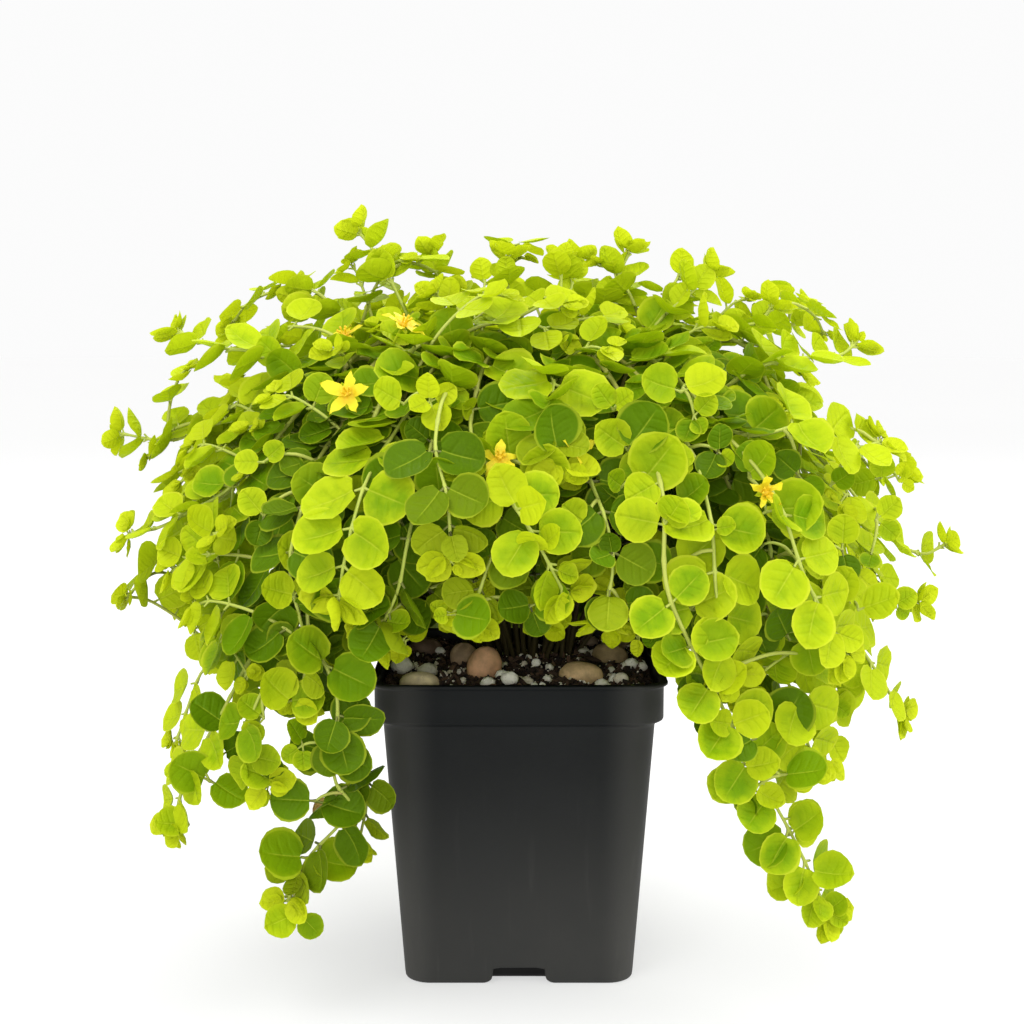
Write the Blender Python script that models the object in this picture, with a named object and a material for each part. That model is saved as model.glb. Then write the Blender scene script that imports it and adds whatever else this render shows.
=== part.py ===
"""A creeping jenny in a square nursery pot: a mound of trailing stems with round leaves, and a few flowers.

The origin is on the floor under the middle of the pot, Z is up and the front of the plant faces -Y.
Lengths in the tables are in millimetres.
"""

import math
import random

import bmesh
import bpy
import numpy as np
from mathutils import Matrix, Vector, noise
from mathutils.bvhtree import BVHTree

MM = 0.001

# The pot
POT_HEIGHT = 107.0
LIP_HALF = 50.0
LIP_THICKNESS = 1.3
BAND_HALF = 48.7
BAND_BOTTOM = 94.8
BODY_TOP_HALF = 46.0
BODY_TOP = 92.4
BASE_HALF = 39.0
CORNER_RADIUS = 8.5
WALL = 1.5
FLOOR_THICKNESS = 1.8
CHANNEL_WIDTH = 19.0
CHANNEL_HEIGHT = 5.5
RIDGE_FOOT = 1.2
DRAIN_RADIUS = 4.0

# The soil and what lies in it
SOIL_TOP = 102.2
SOIL_BUMP = 1.8
SOIL_LUMP = 13.0
GAP = 0.3

# (name, centre x, y, z, half length, half depth, half height, turn about Z in degrees, lean in degrees)
PEBBLES = (
    ("pebble_tan", -34.2, -31.0, 102.8, 6.4, 4.6, 3.2, 8, 4),
    ("pebble_terracotta", -12.1, -13.0, 103.6, 6.0, 5.4, 5.0, 20, 10),
    ("pebble_oval", 21.4, -21.0, 103.0, 7.2, 5.0, 4.1, -6, 3),
    ("pebble_grey_brown", -19.6, 4.4, 103.6, 5.6, 4.0, 4.2, 35, 28),
    ("pebble_olive", 33.6, 12.0, 103.0, 6.3, 4.6, 3.8, -18, 5),
    ("pebble_dark_brown", -34.6, 26.0, 102.8, 5.9, 4.6, 3.4, 15, 6),
    ("pebble_back", 39.0, 34.0, 102.6, 4.2, 3.6, 2.9, 30, 0),
)

# The stems: (name, largest leaf radius, leaf nodes, points from the first leaves to the tip)
VINES = (
    ("top_left_tall", 7.0, 4, ((-26, -8, 205), (-38, -12, 228), (-47, -12, 246), (-55, -8, 257))),
    ("top_left", 6.8, 3, ((-14, 2, 208), (-22, 4, 229), (-28, 8, 241), (-31, 10, 250))),
    ("top_middle", 7.2, 4, ((-3, -12, 205), (-2, -18, 225), (-4, -22, 239), (-4, -20, 248))),
    ("top_back_middle", 6.8, 3, ((12, 14, 206), (16, 22, 227), (20, 30, 240), (23, 34, 248))),
    ("top_right_middle", 7.2, 4, ((20, -4, 208), (28, -8, 229), (34, -8, 241), (38, -6, 250))),
    ("top_right", 7.0, 3, ((34, -14, 208), (48, -20, 227), (58, -22, 236), (64, -20, 243))),
    ("top_right_far", 7.4, 4, ((50, -2, 210), (72, 0, 222), (84, 2, 226), (89, 4, 231))),
    ("shoulder_right_back", 6.8, 4, ((68, 40, 215), (92, 52, 222), (106, 56, 224), (111, 58, 229))),
    ("shoulder_right_front", 7.2, 4, ((69, -40, 206), (90, -36, 214), (106, -30, 215), (113, -26, 219))),
    ("side_right_upper", 7.4, 5, ((67, -70, 193), (89, -72, 195), (105, -66, 188), (115, -60, 189))),
    ("side_right_middle", 7.0, 4, ((92, 0, 191), (114, 4, 180), (130, 8, 169), (138, 10, 173))),
    ("shoulder_left_inner", 7.0, 3, ((-38, -6, 205), (-56, -4, 226), (-70, 2, 229), (-78, 6, 235))),
    ("shoulder_left_back", 7.0, 4, ((-54, 20, 197), (-79, 32, 215), (-97, 38, 216), (-106, 42, 221))),
    ("shoulder_left_front", 7.2, 4, ((-59, -40, 198), (-83, -36, 215), (-101, -30, 218), (-115, -24, 223))),
    ("side_left_upper", 6.8, 4, ((-71, -20, 186), (-99, -14, 192), (-121, -8, 185), (-140, -4, 187))),
    ("front_middle_bright", 7.6, 5, ((-15, -84, 196), (-7, -106, 182), (3, -116, 168), (13, -112, 149))),
    ("front_upper_left", 7.4, 4, ((-20, -74, 205), (-25, -100, 193), (-21, -114, 177), (-20, -114, 159))),
    ("front_left_large", 8.8, 4, ((-38, -80, 194), (-46, -104, 179), (-51, -112, 159), (-53, -110, 147))),
    (
        "front_far_left",
        7.2,
        6,
        ((-59, -70, 190), (-66, -90, 171), (-69, -96, 153), (-65, -92, 128), (-68, -90, 111)),
    ),
    ("front_left_low", 7.6, 4, ((-30, -90, 180), (-32, -108, 164), (-36, -108, 149), (-43, -100, 134))),
    ("front_middle_low", 7.2, 3, ((-6, -96, 169), (-10, -108, 155), (-15, -106, 140))),
    ("front_right_low", 7.4, 4, ((18, -84, 188), (25, -106, 170), (27, -110, 156), (24, -106, 140))),
    (
        "trail_right_long",
        6.8,
        10,
        (
            (37, -80, 194),
            (42, -104, 176),
            (43, -110, 150),
            (56, -104, 122),
            (70, -96, 95),
            (86, -88, 66),
            (98, -82, 40),
        ),
    ),
    ("front_right", 7.6, 5, ((49, -76, 194), (56, -100, 172), (58, -106, 147), (64, -100, 121))),
    ("front_far_right", 7.6, 5, ((66, -80, 191), (76, -98, 173), (85, -100, 151), (98, -94, 127))),
    ("front_upper_right", 8.4, 4, ((13, -66, 206), (10, -92, 197), (12, -104, 184))),
    (
        "trail_right_outer",
        7.6,
        3,
        ((76, -64, 154), (80, -82, 131), (86, -90, 106), (90, -88, 88)),
    ),
    ("side_right_hanging", 6.8, 3, ((92, -50, 156), (106, -56, 130), (118, -56, 111), (126, -54, 98))),
    ("side_right_short", 6.4, 3, ((86, -66, 139), (93, -70, 111), (96, -70, 85))),
    ("side_right_reaching", 6.4, 4, ((105, -30, 177), (121, -34, 157), (135, -34, 149), (143, -34, 152))),
    ("side_right_low", 6.6, 3, ((113, -10, 143), (128, -10, 130), (139, -10, 129))),
    (
        "trail_left_outer",
        6.8,
        4,
        ((-79, -66, 132), (-90, -72, 114), (-99, -74, 99), (-105, -74, 82), (-112, -72, 67)),
    ),
    ("trail_left_inner", 6.8, 3, ((-71, -80, 129), (-80, -86, 111), (-84, -86, 96), (-78, -86, 84))),
    (
        "trail_left_long",
        7.2,
        7,
        ((-58, -86, 130), (-58, -92, 113), (-59, -90, 93), (-61, -86, 73), (-67, -80, 54), (-73, -76, 40)),
    ),
    ("trail_left_by_pot", 6.0, 3, ((-50, -80, 126), (-50, -78, 100), (-49, -76, 78), (-52, -72, 60))),
    ("side_left_low", 8.0, 4, ((-98, 2, 171), (-117, 4, 154), (-131, 3, 139), (-140, 1, 128))),
    ("side_left_hanging", 6.6, 3, ((-95, -46, 135), (-103, -50, 119), (-105, -50, 102), (-114, -48, 89))),
    ("side_left_front", 7.0, 4, ((-89, -60, 177), (-105, -60, 167), (-116, -56, 161), (-127, -52, 158))),
    ("back_right", 8.2, 8, ((82, 48, 190), (108, 64, 166), (122, 74, 130), (128, 78, 98))),
    ("back_right_inner", 8.2, 8, ((52, 72, 202), (70, 98, 176), (78, 112, 142), (80, 114, 112))),
    ("back_middle_right", 8.2, 8, ((22, 82, 205), (26, 110, 178), (24, 118, 144), (28, 118, 116))),
    ("back_middle_left", 8.2, 8, ((-14, 80, 205), (-18, 108, 180), (-20, 118, 150), (-16, 119, 120))),
    ("back_left_inner", 8.2, 8, ((-50, 74, 200), (-68, 100, 172), (-76, 112, 140), (-74, 116, 112))),
    ("back_left", 8.2, 8, ((-84, 48, 188), (-108, 64, 160), (-120, 74, 126), (-124, 78, 96))),
    ("side_right_back", 8.0, 5, ((84, 18, 196), (106, 24, 170), (118, 28, 138), (122, 30, 108))),
)
SEED = 21
ROOT_CENTRE = (2.0, 24.0)
ROOT_SPREAD = (21.0, 13.0)
ROOT_SPACING = 4.6
ROOT_HEIGHT = 104.2
ROOT_LEAN = 1.3
ROOT_TURNS = 200
ROOT_PUSH = 0.12
STEM_RADIUS = 1.05
TIP_RADIUS = 0.6

# How a stem climbs: the shares of its root and of its first leaves in the place of its bend, and how high
# the bend is
RISE_OF_ROOT = (0.72, 0.62)
RISE_OF_LEAVES = (0.28, 0.24)
RISE_LEAST_TOP = 150.0
RISE_HEIGHT = 0.55
# A stem whose leaves start below this height goes over the shoulder of the mound: (share of the way out,
# height)
LOW_START = 165.0
OVER_SHOULDER = ((0.3, 208.0), (0.64, 213.5), (0.9, 170.0))
# One that starts far out but higher up makes one bend there
HIGH_START = 200.0
FAR_OUT = 0.55
FAR_OUT_BEND = (0.56, 214.0)
# The bare part of a stem has a corner this often
BARE_STEP = 44.0

# Along a stem, counted from the tip: where the pairs of leaves stand, and how large they are against the
# largest
NODE_FROM_TIP = (2.2, 10.8, 22.0, 35.0, 49.0)
NODE_STEP = 14.6
LEAF_GROWTH = (0.58, 0.8, 0.93, 1.0, 1.0)
NODE_HALF = 0.85
PETIOLE = 2.6
LEAF_KEEL = 0.13
LEAF_CLEARANCE = 0.4
MOUND_CENTRE = 118.0
MOUND_HALF = (150.0, 122.0, 145.0)

# (name, centre, direction that it faces, radius)
FLOWERS = (
    ("flower_open", (-53, -76, 205), (-0.1, -0.92, 0.38), 8.6),
    ("flower_upper", (-37, -54, 226), (0.45, -0.4, 0.8), 8.2),
    ("flower_half_hidden", (-58, -32, 222), (-0.35, -0.5, 0.8), 7.6),
    ("flower_side_on", (17, -98, 190), (0.75, -0.55, 0.35), 7.6),
    ("flower_low", (-6, -104, 188), (0.1, -0.8, 0.6), 6.6),
    ("flower_crumpled", (73, -98, 177), (0.2, -0.95, 0.25), 5.4),
)


def clear_scene():
    for obj in list(bpy.data.objects):
        bpy.data.objects.remove(obj, do_unlink=True)


def collection(name, hidden=False):
    found = bpy.data.collections.new(name)
    found.hide_render = hidden
    bpy.context.scene.collection.children.link(found)
    return found


def material(name, colour, roughness):
    made = bpy.data.materials.new(name)
    made.use_nodes = True
    shader = made.node_tree.nodes["Principled BSDF"]
    shader.inputs["Base Color"].default_value = (*colour, 1.0)
    shader.inputs["Roughness"].default_value = roughness
    return made


def add_object(name, bm, where, look=None, smooth=False):
    """Close the mesh, turn its faces outward and put it in the scene in metres."""
    rim = [edge for edge in bm.edges if edge.is_boundary]
    if rim:
        bmesh.ops.holes_fill(bm, edges=rim, sides=0)
    bmesh.ops.recalc_face_normals(bm, faces=bm.faces)
    if bm.calc_volume(signed=True) < 0:
        bmesh.ops.reverse_faces(bm, faces=bm.faces)
    bmesh.ops.scale(bm, vec=(MM, MM, MM), verts=bm.verts)
    for face in bm.faces:
        face.smooth = smooth
    mesh = bpy.data.meshes.new(name)
    bm.to_mesh(mesh)
    bm.free()
    obj = bpy.data.objects.new(name, mesh)
    where.objects.link(obj)
    if look:
        mesh.materials.append(look)
    return obj


def add_cutter(name, bm, where):
    obj = add_object(name, bm, where)
    obj.hide_render = True
    obj.display_type = "WIRE"
    return obj


def add_boolean(obj, cutter, operation):
    step = obj.modifiers.new(cutter.name, "BOOLEAN")
    step.object = cutter
    step.operation = operation
    step.solver = "EXACT"


def grow(bm, face, corners, positions):
    """Extrude one face, move its corners to the new positions, and return it with its corners in order."""
    old = [corner.co.copy() for corner in corners]
    new_face = bmesh.ops.extrude_discrete_faces(bm, faces=[face])["faces"][0]
    free = list(new_face.verts)
    ordered = []
    for place in old:
        nearest = min(free, key=lambda vert: (vert.co - place).length_squared)
        free.remove(nearest)
        ordered.append(nearest)
    for vert, place in zip(ordered, positions):
        vert.co = place
    return new_face, ordered


def rounded_square(half, radius, z, steps=2):
    """The corners of a square of this half width, each rounded by an arc of the given number of steps."""
    places = []
    for quarter in range(4):
        start = quarter * math.pi / 2
        middle = Matrix.Rotation(start, 3, "Z") @ Vector((half - radius, half - radius, 0))
        for step in range(steps + 1):
            angle = start + step * math.pi / 2 / steps
            places.append(middle + Vector((radius * math.cos(angle), radius * math.sin(angle), z)))
    return places


def loft(levels, steps=2):
    """A closed body through rounded squares given as (height, half width, corner radius)."""
    bm = bmesh.new()
    first = rounded_square(levels[0][1], levels[0][2], levels[0][0], steps)
    corners = bmesh.ops.create_circle(bm, cap_ends=True, segments=len(first), radius=1)["verts"]
    face = bm.faces[:][0]
    corners = sorted(corners, key=lambda vert: math.atan2(vert.co.y, vert.co.x) % (2 * math.pi))
    for vert, place in zip(corners, first):
        vert.co = place
    for z, half, radius in levels[1:]:
        face, corners = grow(bm, face, corners, rounded_square(half, radius, z, steps))
    return bm


def box(size, centre):
    bm = bmesh.new()
    bmesh.ops.create_cube(bm, size=1)
    bmesh.ops.scale(bm, vec=size, verts=bm.verts)
    bmesh.ops.translate(bm, vec=centre, verts=bm.verts)
    return bm


def inner_levels(gap, top):
    """The inside of the pot from its floor up, set in by a gap."""
    body = BODY_TOP_HALF - WALL - gap
    base = BASE_HALF - WALL - gap
    inside = BAND_HALF - WALL - gap
    radius = CORNER_RADIUS - WALL
    return [
        (FLOOR_THICKNESS + gap, base, radius),
        (BODY_TOP, body, radius),
        (BODY_TOP + 2.2, inside, radius),
        (top, inside + 0.2, radius),
    ]


def bar(width, height, length, bottom, along_x, flare=0.0):
    """One bar whose sides lean out toward its foot."""
    bm = box((length, width, height) if along_x else (width, length, height), (0, 0, bottom + height / 2))
    across = 1 if along_x else 0
    for vert in bm.verts:
        if vert.co.z < bottom + height / 2:
            vert.co[across] += math.copysign(flare, vert.co[across])
    return bm


def add_pot(parts, cutters, look):
    lip_z = POT_HEIGHT - LIP_THICKNESS
    outer = [
        (0.0, BASE_HALF - 1.4, CORNER_RADIUS - 1.0),
        (1.5, BASE_HALF, CORNER_RADIUS),
        (BODY_TOP, BODY_TOP_HALF, CORNER_RADIUS),
        (BAND_BOTTOM, BAND_HALF - 0.3, CORNER_RADIUS),
        (lip_z - 0.2, BAND_HALF, CORNER_RADIUS),
        (lip_z, LIP_HALF, CORNER_RADIUS),
        (POT_HEIGHT, LIP_HALF, CORNER_RADIUS),
    ]
    bm = loft(outer + inner_levels(0.0, POT_HEIGHT)[::-1])
    pot = add_object("pot", bm, parts, look)
    ridge = CHANNEL_WIDTH + 2 * WALL
    length = 2 * BASE_HALF - WALL
    for along_x in (True, False):
        raised = bar(ridge, CHANNEL_HEIGHT + WALL - RIDGE_FOOT, length, RIDGE_FOOT, along_x)
        add_boolean(pot, add_cutter(f"ridge_{'x' if along_x else 'y'}", raised, cutters), "UNION")
    for along_x in (True, False):
        hollow = bar(CHANNEL_WIDTH, CHANNEL_HEIGHT + 2, 4 * BASE_HALF, -2, along_x, flare=1.2)
        add_boolean(pot, add_cutter(f"channel_{'x' if along_x else 'y'}", hollow, cutters), "DIFFERENCE")
    drain = bmesh.new()
    place = Matrix.Translation((0, 0, CHANNEL_HEIGHT))
    bmesh.ops.create_cone(
        drain, cap_ends=True, segments=6, radius1=DRAIN_RADIUS, radius2=DRAIN_RADIUS, depth=6, matrix=place
    )
    add_boolean(pot, add_cutter("drain", drain, cutters), "DIFFERENCE")


def pebble_shape(bm, pebble, extra, seed):
    x, y, z, length, depth, height, turn, lean = pebble[1:]
    made = bmesh.ops.create_uvsphere(bm, u_segments=6, v_segments=4, radius=1)["verts"]
    shift = Vector((seed * 3.1, seed * 1.7, seed * 0.9))
    rough = {vert: 1 + 0.09 * noise.noise(vert.co * 1.3 + shift) for vert in made}
    turned = Matrix.Rotation(math.radians(turn), 3, "Z") @ Matrix.Rotation(math.radians(lean), 3, "Y")
    for vert in made:
        size = Vector((length, depth, height)) * rough[vert]
        vert.co = Vector((x, y, z)) + turned @ Vector(
            [vert.co[axis] * (size[axis] + extra) for axis in range(3)]
        )


def add_soil(parts, cutters, look, stone_looks):
    top = SOIL_TOP + 6
    soil = add_object("soil", loft(inner_levels(GAP, top)), parts, look)
    surface = bmesh.new()
    bmesh.ops.create_grid(surface, x_segments=4, y_segments=4, size=BAND_HALF + 5)
    for vert in surface.verts:
        vert.co.z = SOIL_TOP + SOIL_BUMP * noise.noise(Vector((vert.co.x, vert.co.y, 0)) / SOIL_LUMP)
    walls = bmesh.ops.extrude_face_region(surface, geom=surface.faces[:])["geom"]
    for item in walls:
        if isinstance(item, bmesh.types.BMVert):
            item.co.z = -10
    add_boolean(soil, add_cutter("soil_surface", surface, cutters), "INTERSECT")
    ridge = CHANNEL_WIDTH + 2 * WALL + 2 * GAP
    for along_x in (True, False):
        raised = bar(ridge, CHANNEL_HEIGHT + WALL + GAP + 2, 4 * BASE_HALF, -2, along_x)
        add_boolean(soil, add_cutter(f"soil_ridge_{'x' if along_x else 'y'}", raised, cutters), "DIFFERENCE")
    beds = bmesh.new()
    for seed, pebble in enumerate(PEBBLES):
        pebble_shape(beds, pebble, GAP + 0.1, seed)
        stone = bmesh.new()
        pebble_shape(stone, pebble, 0.0, seed)
        add_object(pebble[0], stone, parts, stone_looks[seed], smooth=True)
    add_boolean(soil, add_cutter("pebble_beds", beds, cutters), "DIFFERENCE")


class Crowd:
    """Everything placed so far, so that a new leaf or stem can be tried for room."""

    def __init__(self):
        self.trees = []
        self.owners = []
        self.middles = np.zeros((0, 3))
        self.reaches = np.zeros(0)

    def add(self, shape, owner):
        verts, faces = shape
        middle = np.mean(verts, axis=0)
        reach = np.linalg.norm(np.array(verts) - middle, axis=1).max()
        self.trees.append(BVHTree.FromPolygons(verts, faces))
        self.owners.append(owner)
        self.middles = np.vstack([self.middles, middle])
        self.reaches = np.append(self.reaches, reach)

    def meets(self, shape, spared=()):
        verts, faces = shape
        middle = np.mean(verts, axis=0)
        reach = np.linalg.norm(np.array(verts) - middle, axis=1).max()
        near = np.linalg.norm(self.middles - middle, axis=1) < self.reaches + reach
        tree = BVHTree.FromPolygons(verts, faces)
        return any(self.owners[i] not in spared and tree.overlap(self.trees[i]) for i in np.flatnonzero(near))


def smooth_path(points, step=2.0):
    """A smooth line through the points, as samples a small step apart, with the length up to each."""
    ends = [points[0] * 2 - points[1], *points, points[-1] * 2 - points[-2]]
    samples = [points[0]]
    for a, b, c, d in zip(ends, ends[1:], ends[2:], ends[3:]):
        count = max(2, round((c - b).length / step))
        for i in range(1, count + 1):
            t = i / count
            samples.append(
                (
                    b * 2
                    + (c - a) * t
                    + (a * 2 - b * 5 + c * 4 - d) * t**2
                    + (b * 3 - a - c * 3 + d) * t**3
                )
                / 2
            )
    lengths = [0.0]
    for a, b in zip(samples, samples[1:]):
        lengths.append(lengths[-1] + (b - a).length)
    return samples, lengths


def along(path, length):
    """The point and the direction of a path at a length from its root."""
    samples, lengths = path
    i = int(np.clip(np.searchsorted(lengths, length) - 1, 0, len(samples) - 2))
    t = (length - lengths[i]) / (lengths[i + 1] - lengths[i])
    return samples[i].lerp(samples[i + 1], t), (samples[i + 1] - samples[i]).normalized()


def root_places():
    """Where the stems leave the soil: near the middle, each on the side that it grows to, spread apart."""
    places = []
    for points in (row[-1] for row in VINES):
        lean = Vector((points[0][0] / MOUND_HALF[0], points[0][1] / MOUND_HALF[1]))
        places.append(np.array(lean * ROOT_LEAN))
    places = np.array(places)
    spread = np.array(ROOT_SPREAD)
    for turn in range(ROOT_TURNS):
        apart = (places[:, None] - places[None]) * spread
        length = np.linalg.norm(apart, axis=2) + np.eye(len(places)) * 99
        away = apart / length[..., None] * ROOT_PUSH
        push = np.where(length[..., None] < ROOT_SPACING, away, 0).sum(axis=1)
        places = places + push / spread
        far = np.linalg.norm(places, axis=1)
        places = places / np.maximum(far, 1)[:, None]
    return places * spread + np.array(ROOT_CENTRE)


def stem_route(root, points):
    """From the root up inside the mound, over its shoulder, and out through the leafy points."""
    first = Vector(points[0])
    if first.z < LOW_START:
        bends = [(first.x * share, first.y * share, height) for share, height in OVER_SHOULDER]
    else:
        rise = [root[axis] * RISE_OF_ROOT[axis] + first[axis] * RISE_OF_LEAVES[axis] for axis in range(2)]
        top = max(first.z, RISE_LEAST_TOP)
        bends = [(*rise, ROOT_HEIGHT + (top - ROOT_HEIGHT) * RISE_HEIGHT)]
        out = math.hypot(first.x / MOUND_HALF[0], first.y / MOUND_HALF[1])
        if out > FAR_OUT and first.z < HIGH_START:
            share, height = FAR_OUT_BEND
            bends.append((first.x * share, first.y * share, height))
    return [root] + [Vector(point) for point in (*bends, *points)]


def node_lengths(total, count):
    """The lengths along a stem of its leaf nodes, from the tip back."""
    places = list(NODE_FROM_TIP)
    while len(places) < count:
        places.append(places[-1] + NODE_STEP)
    return [total - place for place in places[:count]]


def growth(node):
    return LEAF_GROWTH[min(node, len(LEAF_GROWTH) - 1)]


def light_at(place):
    """Where the upper side of a leaf turns here: away from the middle of the mound, and up to the light."""
    outward = Vector(
        (
            place.x / MOUND_HALF[0] ** 2,
            place.y / MOUND_HALF[1] ** 2,
            max(place.z - MOUND_CENTRE, 0) / MOUND_HALF[2] ** 2,
        )
    ).normalized()
    return (outward + Vector((0, 0, 0.38))).normalized()


class Leaf:
    """One round leaf: its foot on the stem, the way it points, its upper side, its radius."""

    def __init__(self, foot, way, upper, radius):
        self.foot = foot
        self.way = way.normalized()
        self.upper = (upper - self.way * upper.dot(self.way)).normalized()
        self.across = self.way.cross(self.upper)
        self.radius = radius

    def place(self, out, side, lift=0.0):
        return self.foot + self.way * out + self.across * side + self.upper * lift

    def rim(self, extra=0.0):
        """Two near corners, two far corners and the tip of the six-sided blade."""
        wide = (self.radius * 1.05 + extra) * math.sin(math.pi / 3)
        near = PETIOLE + self.radius * 0.5 - extra * 0.5
        far = PETIOLE + self.radius * 1.55 + extra * 0.5
        tip = PETIOLE + self.radius * 2.06 + extra
        return (near, -wide), (near, wide), (far, -wide), (far, wide), (tip, 0.0)

    def keel(self, extra=0.0):
        return self.place(PETIOLE + self.radius, 0, -max(0.7, self.radius * LEAF_KEEL) - extra)

    def skin(self, below, left, right):
        """The faces of the blade and its stalk, grown from a triangle on the stem."""
        near_l, near_r, far_l, far_r, tip = (self.place(*point) for point in self.rim())
        keel = self.keel()
        faces = halves([left, right, near_r, near_l]) + halves([right, below, keel, near_r])
        faces += halves([below, left, near_l, keel]) + halves([near_l, near_r, far_r, far_l])
        faces += [(near_l, far_l, keel), (near_r, keel, far_r)]
        return faces + [(far_l, far_r, tip), (far_l, tip, keel), (far_r, keel, tip)]

    def shape(self, extra):
        """The leaf as a plain body for trying its room, swollen by the extra."""
        near_l, near_r, far_l, far_r, tip = self.rim(extra)
        start = STEM_RADIUS * 0.75
        outline = [(start, -0.8 - extra), near_l, far_l, tip, far_r, near_r, (start, 0.8 + extra)]
        count = len(outline)
        verts = [self.place(*point, lift) for lift in (extra, -extra) for point in outline]
        verts.append(self.keel(extra))
        faces = [list(range(count))]
        faces += [(i, (i + 1) % count, count + (i + 1) % count, count + i) for i in range(count)]
        faces += [(count + i, count + (i + 1) % count, 2 * count) for i in range(count)]
        return verts, faces


def spread_leaf(foot, along_stem, light, side, turn, node, radius, lean):
    """A leaf at a node: out to its side and turned to the light, or cupped round the stem where that faces
    the light."""
    age = min(node / 4.0, 1.0)
    open_angle = math.radians(34 + 44 * age)
    level = light.cross(along_stem)
    if level.length < 0.2:
        level = Vector((0, 0, 1)).cross(along_stem)
    if level.length < 0.2:
        level = Vector((1, 0, 0))
    level.normalize()
    facing = abs(light.dot(along_stem))
    flat = 1 - min(max((facing - 0.5) / 0.35, 0), 1)
    if flat < 0.35 and turn:
        level = along_stem.cross(level).normalized()
    out = level * side
    way = out * math.sin(open_angle) + along_stem * math.cos(open_angle)
    cup = along_stem * math.sin(open_angle) - out * math.cos(open_angle)
    upper = light * flat + cup * (1 - flat + 0.25 * (1 - age))
    leaf = Leaf(foot, way, upper, radius)
    pitch, roll, yaw = lean
    turned = Matrix.Rotation(yaw, 3, leaf.upper) @ Matrix.Rotation(roll, 3, leaf.way)
    turned = turned @ Matrix.Rotation(pitch, 3, leaf.across)
    return Leaf(foot, turned @ leaf.way, turned @ leaf.upper, radius)


def halves(quad):
    """The two triangles of a four-sided face, cut along its shorter diagonal."""
    a, b, c, d = quad
    if (a - c).length <= (b - d).length:
        return [(a, b, c), (a, c, d)]
    return [(a, b, d), (b, c, d)]


def edges_of(triangles):
    return np.array([(a, b) for triangle in triangles for a, b in zip(triangle, triangle[1:] + triangle[:1])])


def crossing(edges, triangles, near=5e-3):
    """Whether any edge goes through any triangle, leaving out the ends of the edges."""
    corner, one, other = triangles[:, 0], triangles[:, 1] - triangles[:, 0], triangles[:, 2] - triangles[:, 0]
    way = (edges[:, 1] - edges[:, 0])[:, None]
    side = np.cross(way, other[None])
    size = (one[None] * side).sum(axis=2)
    flat = np.abs(size) < 1e-9
    scale = 1 / np.where(flat, 1, size)
    start = edges[:, 0][:, None] - corner[None]
    u = (start * side).sum(axis=2) * scale
    turned = np.cross(start, one[None])
    v = (way * turned).sum(axis=2) * scale
    t = (other[None] * turned).sum(axis=2) * scale
    inside = (u > -near) & (v > -near) & (u + v < 1 + near) & (t > near) & (t < 1 - near)
    return bool((inside & ~flat).any())


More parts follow.
